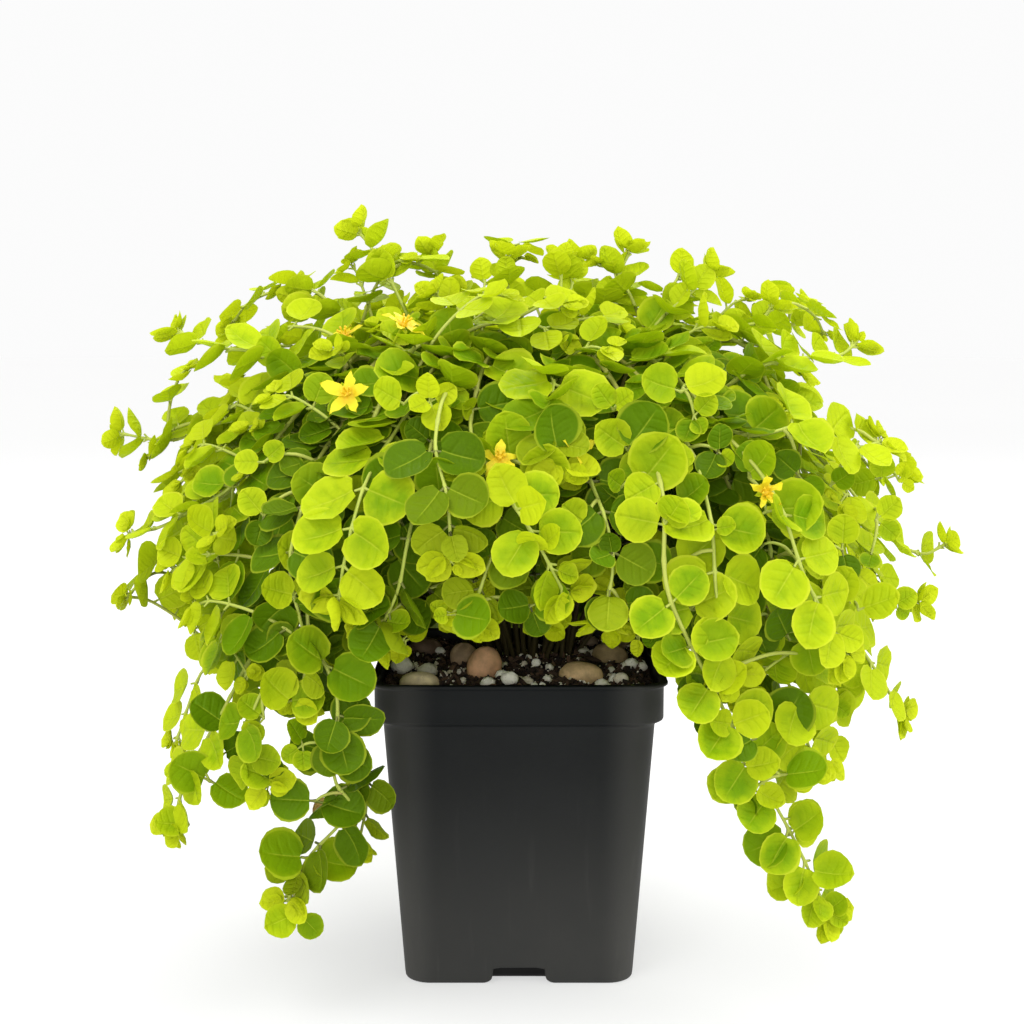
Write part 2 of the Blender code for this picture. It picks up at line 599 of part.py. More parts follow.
class Vine:
    def __init__(self, name, size, count, path):
        self.name = name
        self.size = size
        self.path = path
        self.total = path[1][-1]
        self.nodes = node_lengths(self.total, count)
        first = min(self.nodes)
        bare = max(3, math.ceil(first / BARE_STEP))
        stations = [first * i / bare for i in range(bare)]
        for length in sorted(self.nodes):
            stations += [length - NODE_HALF, length + NODE_HALF]
        self.stations = stations
        self.rings = self.make_rings()
        self.leaves = {}
        self.cuts = {}

    def width(self, length):
        return STEM_RADIUS + (TIP_RADIUS - STEM_RADIUS) * (length / self.total) ** 2

    def make_rings(self):
        """The three corners of the stem at each station."""
        places = [along(self.path, length)[0] for length in self.stations]
        chords = [(after - before).normalized() for before, after in zip(places, places[1:])]
        across = Vector((0.3, 1, 0.2))
        rings = []
        for i, place in enumerate(places):
            way = (chords[max(i - 1, 0)] + chords[min(i, len(chords) - 1)]).normalized()
            across = (across - way * across.dot(way)).normalized()
            arm = across * self.width(self.stations[i])
            rings.append([place + Matrix.Rotation(turn * math.tau / 3, 3, way) @ arm for turn in range(3)])
        return rings

    def station(self, node):
        """The ring below a leaf node."""
        return len(self.rings) - 2 * (node + 1)

    def segments(self, extra):
        """The stem as short three-sided bodies, for trying room."""
        shapes = []
        for low, high in zip(self.rings, self.rings[1:]):
            verts = []
            for ring in (low, high):
                middle = sum(ring, Vector()) / 3
                verts += [corner + (corner - middle).normalized() * extra for corner in ring]
            faces = [(2, 1, 0), (3, 4, 5), (0, 1, 4, 3), (1, 2, 5, 4), (2, 0, 3, 5)]
            shapes.append((verts, faces))
        return shapes

    def quad(self, station, side):
        low, high = self.rings[station], self.rings[station + 1]
        following = (side + 1) % 3
        return [low[side], low[following], high[following], high[side]]

    def skin(self, node, cuts):
        """The faces of the stem and leaves near a node, without the triangles that leaves grow from."""
        middle = self.station(node)
        found = []
        for station in range(max(middle - 3, 0), min(middle + 4, len(self.rings) - 1)):
            for side in range(3):
                quad = self.quad(station, side)
                if (station, side) in cuts:
                    skipped = cuts[station, side]
                    found.append(tuple(quad[(skipped + i) % 4] for i in (-1, 0, 1)))
                else:
                    found += halves(quad)
        for (placed, side), leaf in self.leaves.items():
            if placed == node:
                found += leaf.faces
        return found

    def seat(self, node, leaf):
        """Choose the triangle of the stem from which the leaf grows with the least twist, crossing nothing."""
        station = self.station(node)
        choices = []
        for side in range(3):
            if (station, side) in self.cuts:
                continue
            quad = self.quad(station, side)
            normal = (quad[1] - quad[0]).cross(quad[3] - quad[0]).normalized()
            for skipped in range(4):
                triangle = [quad[(skipped + i) % 4] for i in (1, 2, 3)]
                for turn in range(3):
                    below, left, right = (triangle[(turn + i) % 3] for i in range(3))
                    score = 1.6 * normal.dot(leaf.way)
                    score += (right - left).normalized().dot(leaf.across)
                    score += ((left + right) / 2 - below).normalized().dot(leaf.upper)
                    choices.append((score, side, skipped, turn, below, left, right))
        choices.sort(key=lambda choice: -choice[0])
        for score, side, skipped, turn, below, left, right in choices[:14]:
            if score < 0.4:
                break
            faces = leaf.skin(below, left, right)
            around = self.skin(node, {**self.cuts, (station, side): skipped})
            own, other = np.array(faces), np.array(around)
            if crossing(edges_of(faces), np.concatenate([own, other])) or crossing(edges_of(around), own):
                continue
            self.cuts[station, side] = skipped
            leaf.faces = faces
            leaf.foot_at = (station, side, skipped, turn)
            return True
        return False


def place_vines(crowd, chance):
    vines = []
    for (name, size, count, points), spot in zip(VINES, root_places()):
        for attempt in range(240):
            shake = min(0.25 * attempt, 9.0)
            near = min(0.1 * attempt, 4.0)
            shift = (chance.uniform(-near, near), chance.uniform(-near, near))
            root = Vector((spot[0] + shift[0], spot[1] + shift[1], ROOT_HEIGHT))
            route = stem_route(root, points)
            moved = [route[0]]
            for i, point in enumerate(route[1:]):
                last = i == len(route) - 2
                amount = shake * (0.3 if last else 1.0)
                moved.append(point + Vector([chance.uniform(-amount, amount) for axis in range(3)]))
            vine = Vine(name, size, count, smooth_path(moved))
            shapes = vine.segments(0.7)
            if not any(crowd.meets(shape, [("pot", 0)]) for shape in shapes):
                break
        for i, shape in enumerate(vine.segments(0.0)):
            crowd.add(shape, (name, i))
        vines.append(vine)
    return vines


def place_leaves(vines, crowd, chance):
    """Pair by pair from the tips back, each leaf tilted or made smaller until it has room, or left out."""
    for node in range(max(len(vine.nodes) for vine in vines)):
        for vine in vines:
            if node >= len(vine.nodes):
                continue
            station = vine.station(node)
            spared = [(vine.name, i) for i in range(station - 2, station + 3)]
            foot, way = along(vine.path, vine.nodes[node])
            light = light_at(foot)
            for side in (-1, 1):
                yaw, roll = chance.uniform(-0.2, 0.2), 0.22 + chance.uniform(-0.12, 0.12)
                base = (yaw, roll, chance.uniform(-0.15, 0.15))
                for attempt in range(26):
                    swing = 0.055 * attempt
                    lean = [angle + chance.uniform(-swing, swing) for angle in base]
                    radius = vine.size * growth(node) * chance.uniform(0.93, 1.05) * (1 - 0.012 * attempt)
                    leaf = spread_leaf(foot, way, light, side, node % 2, node, radius, lean)
                    if not crowd.meets(leaf.shape(LEAF_CLEARANCE), spared) and vine.seat(node, leaf):
                        vine.leaves[node, side] = leaf
                        crowd.add(leaf.shape(0.0), (vine.name, "leaf"))
                        break


def grow_leaf(bm, leaf, built):
    """Grow the blade and its stalk out of the stem in three steps, and bring the last to a point."""
    station, side, skipped, turn = leaf.foot_at
    low, high = built[station], built[station + 1]
    following = (side + 1) % 3
    quad = [low[side], low[following], high[following], high[side]]
    triangle = [quad[(skipped + i) % 4] for i in (1, 2, 3)]
    below, left, right = (triangle[(turn + i) % 3] for i in range(3))
    face = next(f for f in below.link_faces if set(f.verts) == set(quad))
    bmesh.utils.face_split(face, quad[(skipped + 1) % 4], quad[(skipped + 3) % 4])
    face = next(f for f in below.link_faces if set(f.verts) == set(triangle))
    near_l, near_r, far_l, far_r, tip = (leaf.place(*point) for point in leaf.rim())
    face, corners = grow(bm, face, [left, right, below], [near_l, near_r, leaf.keel()])
    first_keel = corners[2]
    face, corners = grow(bm, face, corners, [far_l, far_r, leaf.keel()])
    rim = corners[:2]
    bmesh.ops.pointmerge(bm, verts=[first_keel, corners[2]], merge_co=leaf.keel())
    end = next(f for f in rim[0].link_faces if len(f.verts) == 3 and rim[1] in f.verts)
    point = bmesh.ops.poke(bm, faces=[end])["verts"][0]
    point.co = tip


def add_vine(vine, parts, look):
    bm = bmesh.new()
    bmesh.ops.create_circle(bm, cap_ends=True, segments=3, radius=1)
    face = bm.faces[:][0]
    corners = list(face.verts)
    for vert, place in zip(corners, vine.rings[0]):
        vert.co = place
    built = [corners]
    for places in vine.rings[1:]:
        face, corners = grow(bm, face, corners, places)
        built.append(corners)
    for leaf in vine.leaves.values():
        grow_leaf(bm, leaf, built)
    rim = [edge for edge in bm.edges if edge.is_boundary]
    bmesh.ops.holes_fill(bm, edges=rim, sides=0)
    bmesh.ops.triangulate(bm, faces=bm.faces, quad_method="SHORT_EDGE")
    return add_object(f"stem_{vine.name}", bm, parts, look)


def flower_frame(facing):
    facing = Vector(facing).normalized()
    side = facing.cross(Vector((0.31, 0.17, 1))).normalized()
    return Matrix((side, facing.cross(side), facing)).transposed()


def flower_shape(centre, facing, radius, extra=0.0):
    """A star of five petals as a shallow funnel with a thin stalk behind it."""
    bm = bmesh.new()
    rim = bmesh.ops.create_circle(bm, cap_ends=True, segments=10, radius=radius + extra)["verts"]
    face = bm.faces[:][0]
    if face.normal.z > 0:
        face.normal_flip()
    for i, vert in enumerate(sorted(rim, key=lambda vert: math.atan2(vert.co.y, vert.co.x))):
        vert.co = vert.co * (0.45 + 0.05 * extra if i % 2 else 1.0)
        vert.co.z = -extra if i % 2 else 0.8 + extra
    corners = list(face.verts)
    throat = [vert.co.normalized() * (0.8 + extra) + Vector((0, 0, -2.6 - extra)) for vert in corners]
    face, corners = grow(bm, face, corners, throat)
    foot = bmesh.ops.poke(bm, faces=[face])["verts"][0]
    foot.co = Vector((0, 0, -9.0 - extra))
    edge = [e for e in bm.edges if e.is_boundary]
    front = bmesh.ops.holes_fill(bm, edges=edge, sides=0)["faces"]
    middle = bmesh.ops.poke(bm, faces=front)["verts"][0]
    middle.co = Vector((0, 0, extra - 0.6))
    turned = flower_frame(facing)
    for vert in bm.verts:
        vert.co = Vector(centre) + turned @ vert.co
    return bm


def plain_shape(bm):
    bm.verts.index_update()
    shape = [vert.co.copy() for vert in bm.verts], [[vert.index for vert in face.verts] for face in bm.faces]
    bm.free()
    return shape


def add_obstacles(crowd):
    levels = [
        (-5, BASE_HALF + 1, 2),
        (BODY_TOP, BODY_TOP_HALF + 1, 2),
        (BAND_BOTTOM, LIP_HALF + 0.6, 2),
        (POT_HEIGHT + 0.6, LIP_HALF + 0.6, 2),
    ]
    crowd.add(plain_shape(loft(levels, steps=1)), ("pot", 0))
    for seed, pebble in enumerate(PEBBLES):
        stone = bmesh.new()
        pebble_shape(stone, pebble, 0.3, seed)
        crowd.add(plain_shape(stone), ("pebble", seed))
    for name, centre, facing, radius in FLOWERS:
        crowd.add(plain_shape(flower_shape(centre, facing, radius, 0.3)), (name, 0))


def main():
    clear_scene()
    parts = collection("creeping_jenny")
    cutters = collection("cutters", hidden=True)
    plastic = material("black_plastic", (0.018, 0.019, 0.02), 0.42)
    mix = material("potting_mix", (0.05, 0.03, 0.02), 0.95)
    leaf_green = material("leaf_green", (0.32, 0.5, 0.05), 0.5)
    petal = material("yellow_petal", (0.9, 0.72, 0.03), 0.5)
    stones = [
        material(f"stone_{i}", colour, 0.7)
        for i, colour in enumerate(
            (
                (0.55, 0.4, 0.28),
                (0.34, 0.19, 0.12),
                (0.42, 0.3, 0.2),
                (0.28, 0.2, 0.15),
                (0.26, 0.2, 0.11),
                (0.1, 0.055, 0.035),
                (0.2, 0.13, 0.09),
            )
        )
    ]
    add_pot(parts, cutters, plastic)
    add_soil(parts, cutters, mix, stones)
    crowd = Crowd()
    chance = random.Random(SEED)
    add_obstacles(crowd)
    vines = place_vines(crowd, chance)
    place_leaves(vines, crowd, chance)
    for vine in vines:
        add_vine(vine, parts, leaf_green)
    for name, centre, facing, radius in FLOWERS:
        add_object(name, flower_shape(centre, facing, radius), parts, petal)


main()
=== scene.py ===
"""The looks of a creeping jenny in its square nursery pot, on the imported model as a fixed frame.

Lengths in the tables and functions are in millimetres, and the meshes are in metres. The front faces -Y.
"""

import math
import random

import bmesh
import bpy
import numpy as np
from bpy.props import FloatProperty, FloatVectorProperty, IntProperty, PointerProperty
from mathutils import Matrix, Vector, noise
from mathutils.bvhtree import BVHTree


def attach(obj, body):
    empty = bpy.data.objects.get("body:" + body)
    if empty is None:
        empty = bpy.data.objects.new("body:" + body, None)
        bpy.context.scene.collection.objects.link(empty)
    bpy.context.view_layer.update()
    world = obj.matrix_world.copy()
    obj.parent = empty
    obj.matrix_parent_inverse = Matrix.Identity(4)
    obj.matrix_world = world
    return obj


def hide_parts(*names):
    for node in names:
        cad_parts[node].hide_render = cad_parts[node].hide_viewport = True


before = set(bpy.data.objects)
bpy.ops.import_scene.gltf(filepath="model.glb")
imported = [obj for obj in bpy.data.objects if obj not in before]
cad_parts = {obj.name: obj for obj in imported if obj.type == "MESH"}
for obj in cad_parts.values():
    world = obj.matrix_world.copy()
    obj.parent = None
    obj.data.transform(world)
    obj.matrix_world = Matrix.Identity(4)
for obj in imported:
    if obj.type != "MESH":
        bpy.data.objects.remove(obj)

bl_info = {
    "name": "Creeping jenny in a pot",
    "version": (1, 0, 0),
    "blender": (4, 5, 0),
    "location": "View3D > Sidebar > Creeping jenny",
    "description": "Builds a potted creeping jenny with its leaves, stems, flowers, soil and pebbles",
    "category": "Object",
}

MM = 0.001
TURN = 2 * math.pi

# The camera: where it stands, in millimetres, its dip in degrees, its lens and the width of its film
CAMERA_PLACE = (-2.4, -601.9, 235.8)
CAMERA_DIP = 7.30
LENS = 60.0
FILM = 36.0
PICTURE = 1024
# Pixels for each step aside at one step ahead
SHARP = LENS / FILM * PICTURE

# The pot
POT_HEIGHT = 107.0
LIP_HALF = 50.0
LIP_THICKNESS = 1.3
BAND_HALF = 48.7
BAND_BOTTOM = 94.8
BODY_TOP_HALF = 46.0
BODY_TOP = 92.4
BASE_HALF = 39.0
CORNER_RADIUS = 8.5
WALL = 1.5
FLOOR_THICKNESS = 1.8
CHANNEL_WIDTH = 19.0
CHANNEL_HEIGHT = 5.5
DRAIN_RADIUS = 4.0

# The soil and the pebbles: (name, centre x, y, z, half length, depth and height, turn and lean in degrees)
SOIL_TOP = 102.2
GAP = 0.3
PEBBLES = (
    ("pebble_tan", -34.2, -31.0, 102.8, 6.4, 4.6, 3.2, 8, 4),
    ("pebble_terracotta", -12.1, -13.0, 103.6, 6.0, 5.4, 5.0, 20, 10),
    ("pebble_oval", 21.4, -21.0, 103.0, 7.2, 5.0, 4.1, -6, 3),
    ("pebble_grey_brown", -19.6, 4.4, 103.6, 5.6, 4.0, 4.2, 35, 28),
    ("pebble_olive", 33.6, 12.0, 103.0, 6.3, 4.6, 3.8, -18, 5),
    ("pebble_dark_brown", -34.6, 26.0, 102.8, 5.9, 4.6, 3.4, 15, 6),
    ("pebble_back", 39.0, 34.0, 102.6, 4.2, 3.6, 2.9, 30, 0),
)

# The stems: (name, largest leaf radius, leaf nodes, points from the first leaves to the tip)
VINES = (
    ("top_left_tall", 7.0, 4, ((-26, -8, 205), (-38, -12, 228), (-47, -12, 246), (-55, -8, 257))),
    ("top_left", 6.8, 3, ((-14, 2, 208), (-22, 4, 229), (-28, 8, 241), (-31, 10, 250))),
    ("top_middle", 7.2, 4, ((-3, -12, 205), (-2, -18, 225), (-4, -22, 239), (-4, -20, 248))),
    ("top_back_middle", 6.8, 3, ((12, 14, 206), (16, 22, 227), (20, 30, 240), (23, 34, 248))),
    ("top_right_middle", 7.2, 4, ((20, -4, 208), (28, -8, 229), (34, -8, 241), (38, -6, 250))),
    ("top_right", 7.0, 3, ((34, -14, 208), (48, -20, 227), (58, -22, 236), (64, -20, 243))),
    ("top_right_far", 7.4, 4, ((50, -2, 210), (72, 0, 222), (84, 2, 226), (89, 4, 231))),
    ("shoulder_right_back", 6.8, 4, ((68, 40, 215), (92, 52, 222), (106, 56, 224), (111, 58, 229))),
    ("shoulder_right_front", 7.2, 4, ((69, -40, 206), (90, -36, 214), (106, -30, 215), (113, -26, 219))),
    ("side_right_upper", 7.4, 5, ((67, -70, 193), (89, -72, 195), (105, -66, 188), (115, -60, 189))),
    ("side_right_middle", 7.0, 4, ((92, 0, 191), (114, 4, 180), (130, 8, 169), (138, 10, 173))),
    ("shoulder_left_inner", 7.0, 3, ((-38, -6, 205), (-56, -4, 226), (-70, 2, 229), (-78, 6, 235))),
    ("shoulder_left_back", 7.0, 4, ((-54, 20, 197), (-79, 32, 215), (-97, 38, 216), (-106, 42, 221))),
    ("shoulder_left_front", 7.2, 4, ((-59, -40, 198), (-83, -36, 215), (-101, -30, 218), (-115, -24, 223))),
    ("side_left_upper", 6.8, 4, ((-71, -20, 186), (-99, -14, 192), (-121, -8, 185), (-140, -4, 187))),
    ("front_middle_bright", 7.6, 5, ((-15, -84, 196), (-7, -106, 182), (3, -116, 168), (13, -112, 149))),
    ("front_upper_left", 7.4, 4, ((-20, -74, 205), (-25, -100, 193), (-21, -114, 177), (-20, -114, 159))),
    ("front_left_large", 8.8, 4, ((-38, -80, 194), (-46, -104, 179), (-51, -112, 159), (-53, -110, 147))),
    ("front_far_left", 7.2, 6,
     ((-59, -70, 190), (-66, -90, 171), (-69, -96, 153), (-65, -92, 128), (-68, -90, 111))),
    ("front_left_low", 7.6, 4, ((-30, -90, 180), (-32, -108, 164), (-36, -108, 149), (-43, -100, 134))),
    ("front_middle_low", 7.2, 3, ((-6, -96, 169), (-10, -108, 155), (-15, -106, 140))),
    ("front_right_low", 7.4, 4, ((18, -84, 188), (25, -106, 170), (27, -110, 156), (24, -106, 140))),
    ("trail_right_long", 6.8, 10,
     ((37, -80, 194), (42, -104, 176), (43, -110, 150), (56, -104, 122), (70, -96, 95), (86, -88, 66),
      (98, -82, 40))),
    ("front_right", 7.6, 5, ((49, -76, 194), (56, -100, 172), (58, -106, 147), (64, -100, 121))),
    ("front_far_right", 7.6, 5, ((66, -80, 191), (76, -98, 173), (85, -100, 151), (98, -94, 127))),
    ("front_upper_right", 8.4, 4, ((13, -66, 206), (10, -92, 197), (12, -104, 184))),
    ("trail_right_outer", 7.6, 3, ((76, -64, 154), (80, -82, 131), (86, -90, 106), (90, -88, 88))),
    ("side_right_hanging", 6.8, 3, ((92, -50, 156), (106, -56, 130), (118, -56, 111), (126, -54, 98))),
    ("side_right_short", 6.4, 3, ((86, -66, 139), (93, -70, 111), (96, -70, 85))),
    ("side_right_reaching", 6.4, 4, ((105, -30, 177), (121, -34, 157), (135, -34, 149), (143, -34, 152))),
    ("side_right_low", 6.6, 3, ((113, -10, 143), (128, -10, 130), (139, -10, 129))),
    ("trail_left_outer", 6.8, 4,
     ((-79, -66, 132), (-90, -72, 114), (-99, -74, 99), (-105, -74, 82), (-112, -72, 67))),
    ("trail_left_inner", 6.8, 3, ((-71, -80, 129), (-80, -86, 111), (-84, -86, 96), (-78, -86, 84))),
    ("trail_left_long", 7.2, 7,
     ((-58, -86, 130), (-58, -92, 113), (-59, -90, 93), (-61, -86, 73), (-67, -80, 54), (-73, -76, 40))),
    ("trail_left_by_pot", 6.0, 3, ((-50, -80, 126), (-50, -78, 100), (-49, -76, 78), (-52, -72, 60))),
    ("side_left_low", 8.0, 4, ((-98, 2, 171), (-117, 4, 154), (-131, 3, 139), (-140, 1, 128))),
    ("side_left_hanging", 6.6, 3, ((-95, -46, 135), (-103, -50, 119), (-105, -50, 102), (-114, -48, 89))),
    ("side_left_front", 7.0, 4, ((-89, -60, 177), (-105, -60, 167), (-116, -56, 161), (-127, -52, 158))),
    ("back_right", 8.2, 8, ((82, 48, 190), (108, 64, 166), (122, 74, 130), (128, 78, 98))),
    ("back_right_inner", 8.2, 8, ((52, 72, 202), (70, 98, 176), (78, 112, 142), (80, 114, 112))),
    ("back_middle_right", 8.2, 8, ((22, 82, 205), (26, 110, 178), (24, 118, 144), (28, 118, 116))),
    ("back_middle_left", 8.2, 8, ((-14, 80, 205), (-18, 108, 180), (-20, 118, 150), (-16, 119, 120))),
    ("back_left_inner", 8.2, 8, ((-50, 74, 200), (-68, 100, 172), (-76, 112, 140), (-74, 116, 112))),
    ("back_left", 8.2, 8, ((-84, 48, 188), (-108, 64, 160), (-120, 74, 126), (-124, 78, 96))),
    ("side_right_back", 8.0, 5, ((84, 18, 196), (106, 24, 170), (118, 28, 138), (122, 30, 108))),
)
SEED = 21
ROOT_CENTRE = (2.0, 24.0)
ROOT_SPREAD = (21.0, 13.0)
ROOT_SPACING = 4.6
ROOT_HEIGHT = 104.2
ROOT_LEAN = 1.3
ROOT_TURNS = 200
ROOT_PUSH = 0.12
STEM_RADIUS = 1.05
TIP_RADIUS = 0.6

# How a stem climbs: the shares of its root and of its first leaves in the place of its bend, and how high
# the bend is
RISE_OF_ROOT = (0.72, 0.62)
RISE_OF_LEAVES = (0.28, 0.24)
RISE_LEAST_TOP = 150.0
RISE_HEIGHT = 0.55
# A stem whose leaves start below this height goes over the shoulder of the mound: (share of the way out,
# height)
LOW_START = 165.0
OVER_SHOULDER = ((0.3, 208.0), (0.64, 213.5), (0.9, 170.0))
# One that starts far out but higher up makes one bend there
HIGH_START = 200.0
FAR_OUT = 0.55
FAR_OUT_BEND = (0.56, 214.0)
# The bare part of a stem has a corner this often
BARE_STEP = 44.0

# Along a stem, counted from the tip: where the pairs of leaves stand, and how large they are against the
# largest
NODE_FROM_TIP = (2.2, 10.8, 22.0, 35.0, 49.0)
NODE_STEP = 14.6
LEAF_GROWTH = (0.58, 0.8, 0.93, 1.0, 1.0)
NODE_HALF = 0.85
PETIOLE = 2.6
LEAF_KEEL = 0.13
LEAF_CLEARANCE = 0.4
MOUND_CENTRE = 118.0
MOUND_HALF = (150.0, 122.0, 145.0)

# (name, centre, direction that it faces, radius)
FLOWERS = (
    ("flower_open", (-53, -76, 205), (-0.1, -0.92, 0.38), 8.6),
    ("flower_upper", (-37, -54, 226), (0.45, -0.4, 0.8), 8.2),
    ("flower_half_hidden", (-58, -32, 222), (-0.35, -0.5, 0.8), 7.6),
    ("flower_side_on", (17, -98, 190), (0.75, -0.55, 0.35), 7.6),
    ("flower_low", (-6, -104, 188), (0.1, -0.8, 0.6), 6.6),
    ("flower_crumpled", (73, -98, 177), (0.2, -0.95, 0.25), 5.4),
)


def grow(bm, face, corners, positions):
    """Extrude one face, move its corners to the new positions, and return it with its corners in order."""
    old = [corner.co.copy() for corner in corners]
    new_face = bmesh.ops.extrude_discrete_faces(bm, faces=[face])["faces"][0]
    free = list(new_face.verts)
    ordered = []
    for place in old:
        nearest = min(free, key=lambda vert: (vert.co - place).length_squared)
        free.remove(nearest)
        ordered.append(nearest)
    for vert, place in zip(ordered, positions):
        vert.co = place
    return new_face, ordered


def bevelled_square(z, half, radius):
    """The eight corners of a level square of this half width, each of its own corners cut off."""
    places = []
    for quarter in range(4):
        start = quarter * math.pi / 2
        middle = Matrix.Rotation(start, 3, "Z") @ Vector((half - radius, half - radius, 0))
        for angle in (start, start + math.pi / 2):
            places.append(middle + Vector((radius * math.cos(angle), radius * math.sin(angle), z)))
    return places


def loft(levels):
    """A closed body through bevelled squares given as (height, half width, corner radius)."""
    bm = bmesh.new()
    first = bevelled_square(*levels[0])
    corners = bmesh.ops.create_circle(bm, cap_ends=True, segments=len(first), radius=1)["verts"]
    face = bm.faces[:][0]
    corners = sorted(corners, key=lambda vert: math.atan2(vert.co.y, vert.co.x) % (2 * math.pi))
    for vert, place in zip(corners, first):
        vert.co = place
    for level in levels[1:]:
        face, corners = grow(bm, face, corners, bevelled_square(*level))
    return bm


def pebble_turn(turn, lean):
    return Matrix.Rotation(math.radians(turn), 3, "Z") @ Matrix.Rotation(math.radians(lean), 3, "Y")


def pebble_shape(pebble, seed, extra):
    """A coarse ball, stretched and dented, swollen by the extra."""
    x, y, z, length, depth, height, turn, lean = pebble[1:]
    bm = bmesh.new()
    turned = pebble_turn(turn, lean)
    shift = Vector((seed * 3.1, seed * 1.7, seed * 0.9))
    for vert in bmesh.ops.create_uvsphere(bm, u_segments=6, v_segments=4, radius=1)["verts"]:
        size = Vector((length, depth, height)) * (1 + 0.09 * noise.noise(vert.co * 1.3 + shift))
        stretched = [vert.co[axis] * (size[axis] + extra) for axis in range(3)]
        vert.co = Vector((x, y, z)) + turned @ Vector(stretched)
    return bm


class Crowd:
    """Everything placed so far, so that a new leaf or stem can be tried for room."""

    def __init__(self):
        self.trees = []
        self.owners = []
        self.middles = np.zeros((0, 3))
        self.reaches = np.zeros(0)

    def measured(self, shape):
        """The middle of a shape, how far it reaches from there, and its tree of faces."""
        middle = np.mean(shape[0], axis=0)
        return middle, np.linalg.norm(np.array(shape[0]) - middle, axis=1).max(), BVHTree.FromPolygons(*shape)

    def add(self, shape, owner):
        middle, reach, tree = self.measured(shape)
        self.trees.append(tree)
        self.owners.append(owner)
        self.middles = np.vstack([self.middles, middle])
        self.reaches = np.append(self.reaches, reach)

    def meets(self, shape, spared=()):
        """Whether a shape touches anything here whose owner isn't spared."""
        middle, reach, tree = self.measured(shape)
        near = np.linalg.norm(self.middles - middle, axis=1) < self.reaches + reach
        return any(self.owners[i] not in spared and tree.overlap(self.trees[i]) for i in np.flatnonzero(near))


def smooth_path(points, step=2.0):
    """A smooth line through the points, as samples a small step apart, with the length up to each."""
    ends = [points[0] * 2 - points[1], *points, points[-1] * 2 - points[-2]]
    samples = [points[0]]
    for a, b, c, d in zip(ends, ends[1:], ends[2:], ends[3:]):
        count = max(2, round((c - b).length / step))
        for i in range(1, count + 1):
            t = i / count
            bent = b * 2 + (c - a) * t + (a * 2 - b * 5 + c * 4 - d) * t**2
            samples.append((bent + (b * 3 - a - c * 3 + d) * t**3) / 2)
    lengths = [0.0]
    for a, b in zip(samples, samples[1:]):
        lengths.append(lengths[-1] + (b - a).length)
    return samples, lengths


def along(path, length):
    """The point and the direction of a path at a length from its root."""
    samples, lengths = path
    i = int(np.clip(np.searchsorted(lengths, length) - 1, 0, len(samples) - 2))
    t = (length - lengths[i]) / (lengths[i + 1] - lengths[i])
    return samples[i].lerp(samples[i + 1], t), (samples[i + 1] - samples[i]).normalized()


def root_places():
    """Where the stems leave the soil: near the middle, each on the side that it grows to, spread apart."""
    places = []
    for points in (row[-1] for row in VINES):
        lean = Vector((points[0][0] / MOUND_HALF[0], points[0][1] / MOUND_HALF[1]))
        places.append(np.array(lean * ROOT_LEAN))
    places = np.array(places)
    spread = np.array(ROOT_SPREAD)
    for turn in range(ROOT_TURNS):
        apart = (places[:, None] - places[None]) * spread
        length = np.linalg.norm(apart, axis=2) + np.eye(len(places)) * 99
        away = apart / length[..., None] * ROOT_PUSH
        push = np.where(length[..., None] < ROOT_SPACING, away, 0).sum(axis=1)
        places = places + push / spread
        far = np.linalg.norm(places, axis=1)
        places = places / np.maximum(far, 1)[:, None]
    return places * spread + np.array(ROOT_CENTRE)


def stem_route(root, points):
    """From the root up inside the mound, over its shoulder, and out through the leafy points."""
    first = Vector(points[0])
    if first.z < LOW_START:
        bends = [(first.x * share, first.y * share, height) for share, height in OVER_SHOULDER]
    else:
        rise = [root[axis] * RISE_OF_ROOT[axis] + first[axis] * RISE_OF_LEAVES[axis] for axis in range(2)]
        top = max(first.z, RISE_LEAST_TOP)
        bends = [(*rise, ROOT_HEIGHT + (top - ROOT_HEIGHT) * RISE_HEIGHT)]
        out = math.hypot(first.x / MOUND_HALF[0], first.y / MOUND_HALF[1])
        if out > FAR_OUT and first.z < HIGH_START:
            share, height = FAR_OUT_BEND
            bends.append((first.x * share, first.y * share, height))
    return [root] + [Vector(point) for point in (*bends, *points)]


def node_lengths(total, count):
    """The lengths along a stem of its leaf nodes, from the tip back."""
    places = list(NODE_FROM_TIP)
    while len(places) < count:
        places.append(places[-1] + NODE_STEP)
    return [total - place for place in places[:count]]


def growth(node):
    return LEAF_GROWTH[min(node, len(LEAF_GROWTH) - 1)]


def light_at(place):
    """Where the upper side of a leaf turns here: away from the middle of the mound, and up to the light."""
    outward = Vector(
        (
            place.x / MOUND_HALF[0] ** 2,
            place.y / MOUND_HALF[1] ** 2,
            max(place.z - MOUND_CENTRE, 0) / MOUND_HALF[2] ** 2,
        )
    ).normalized()
    return (outward + Vector((0, 0, 0.38))).normalized()


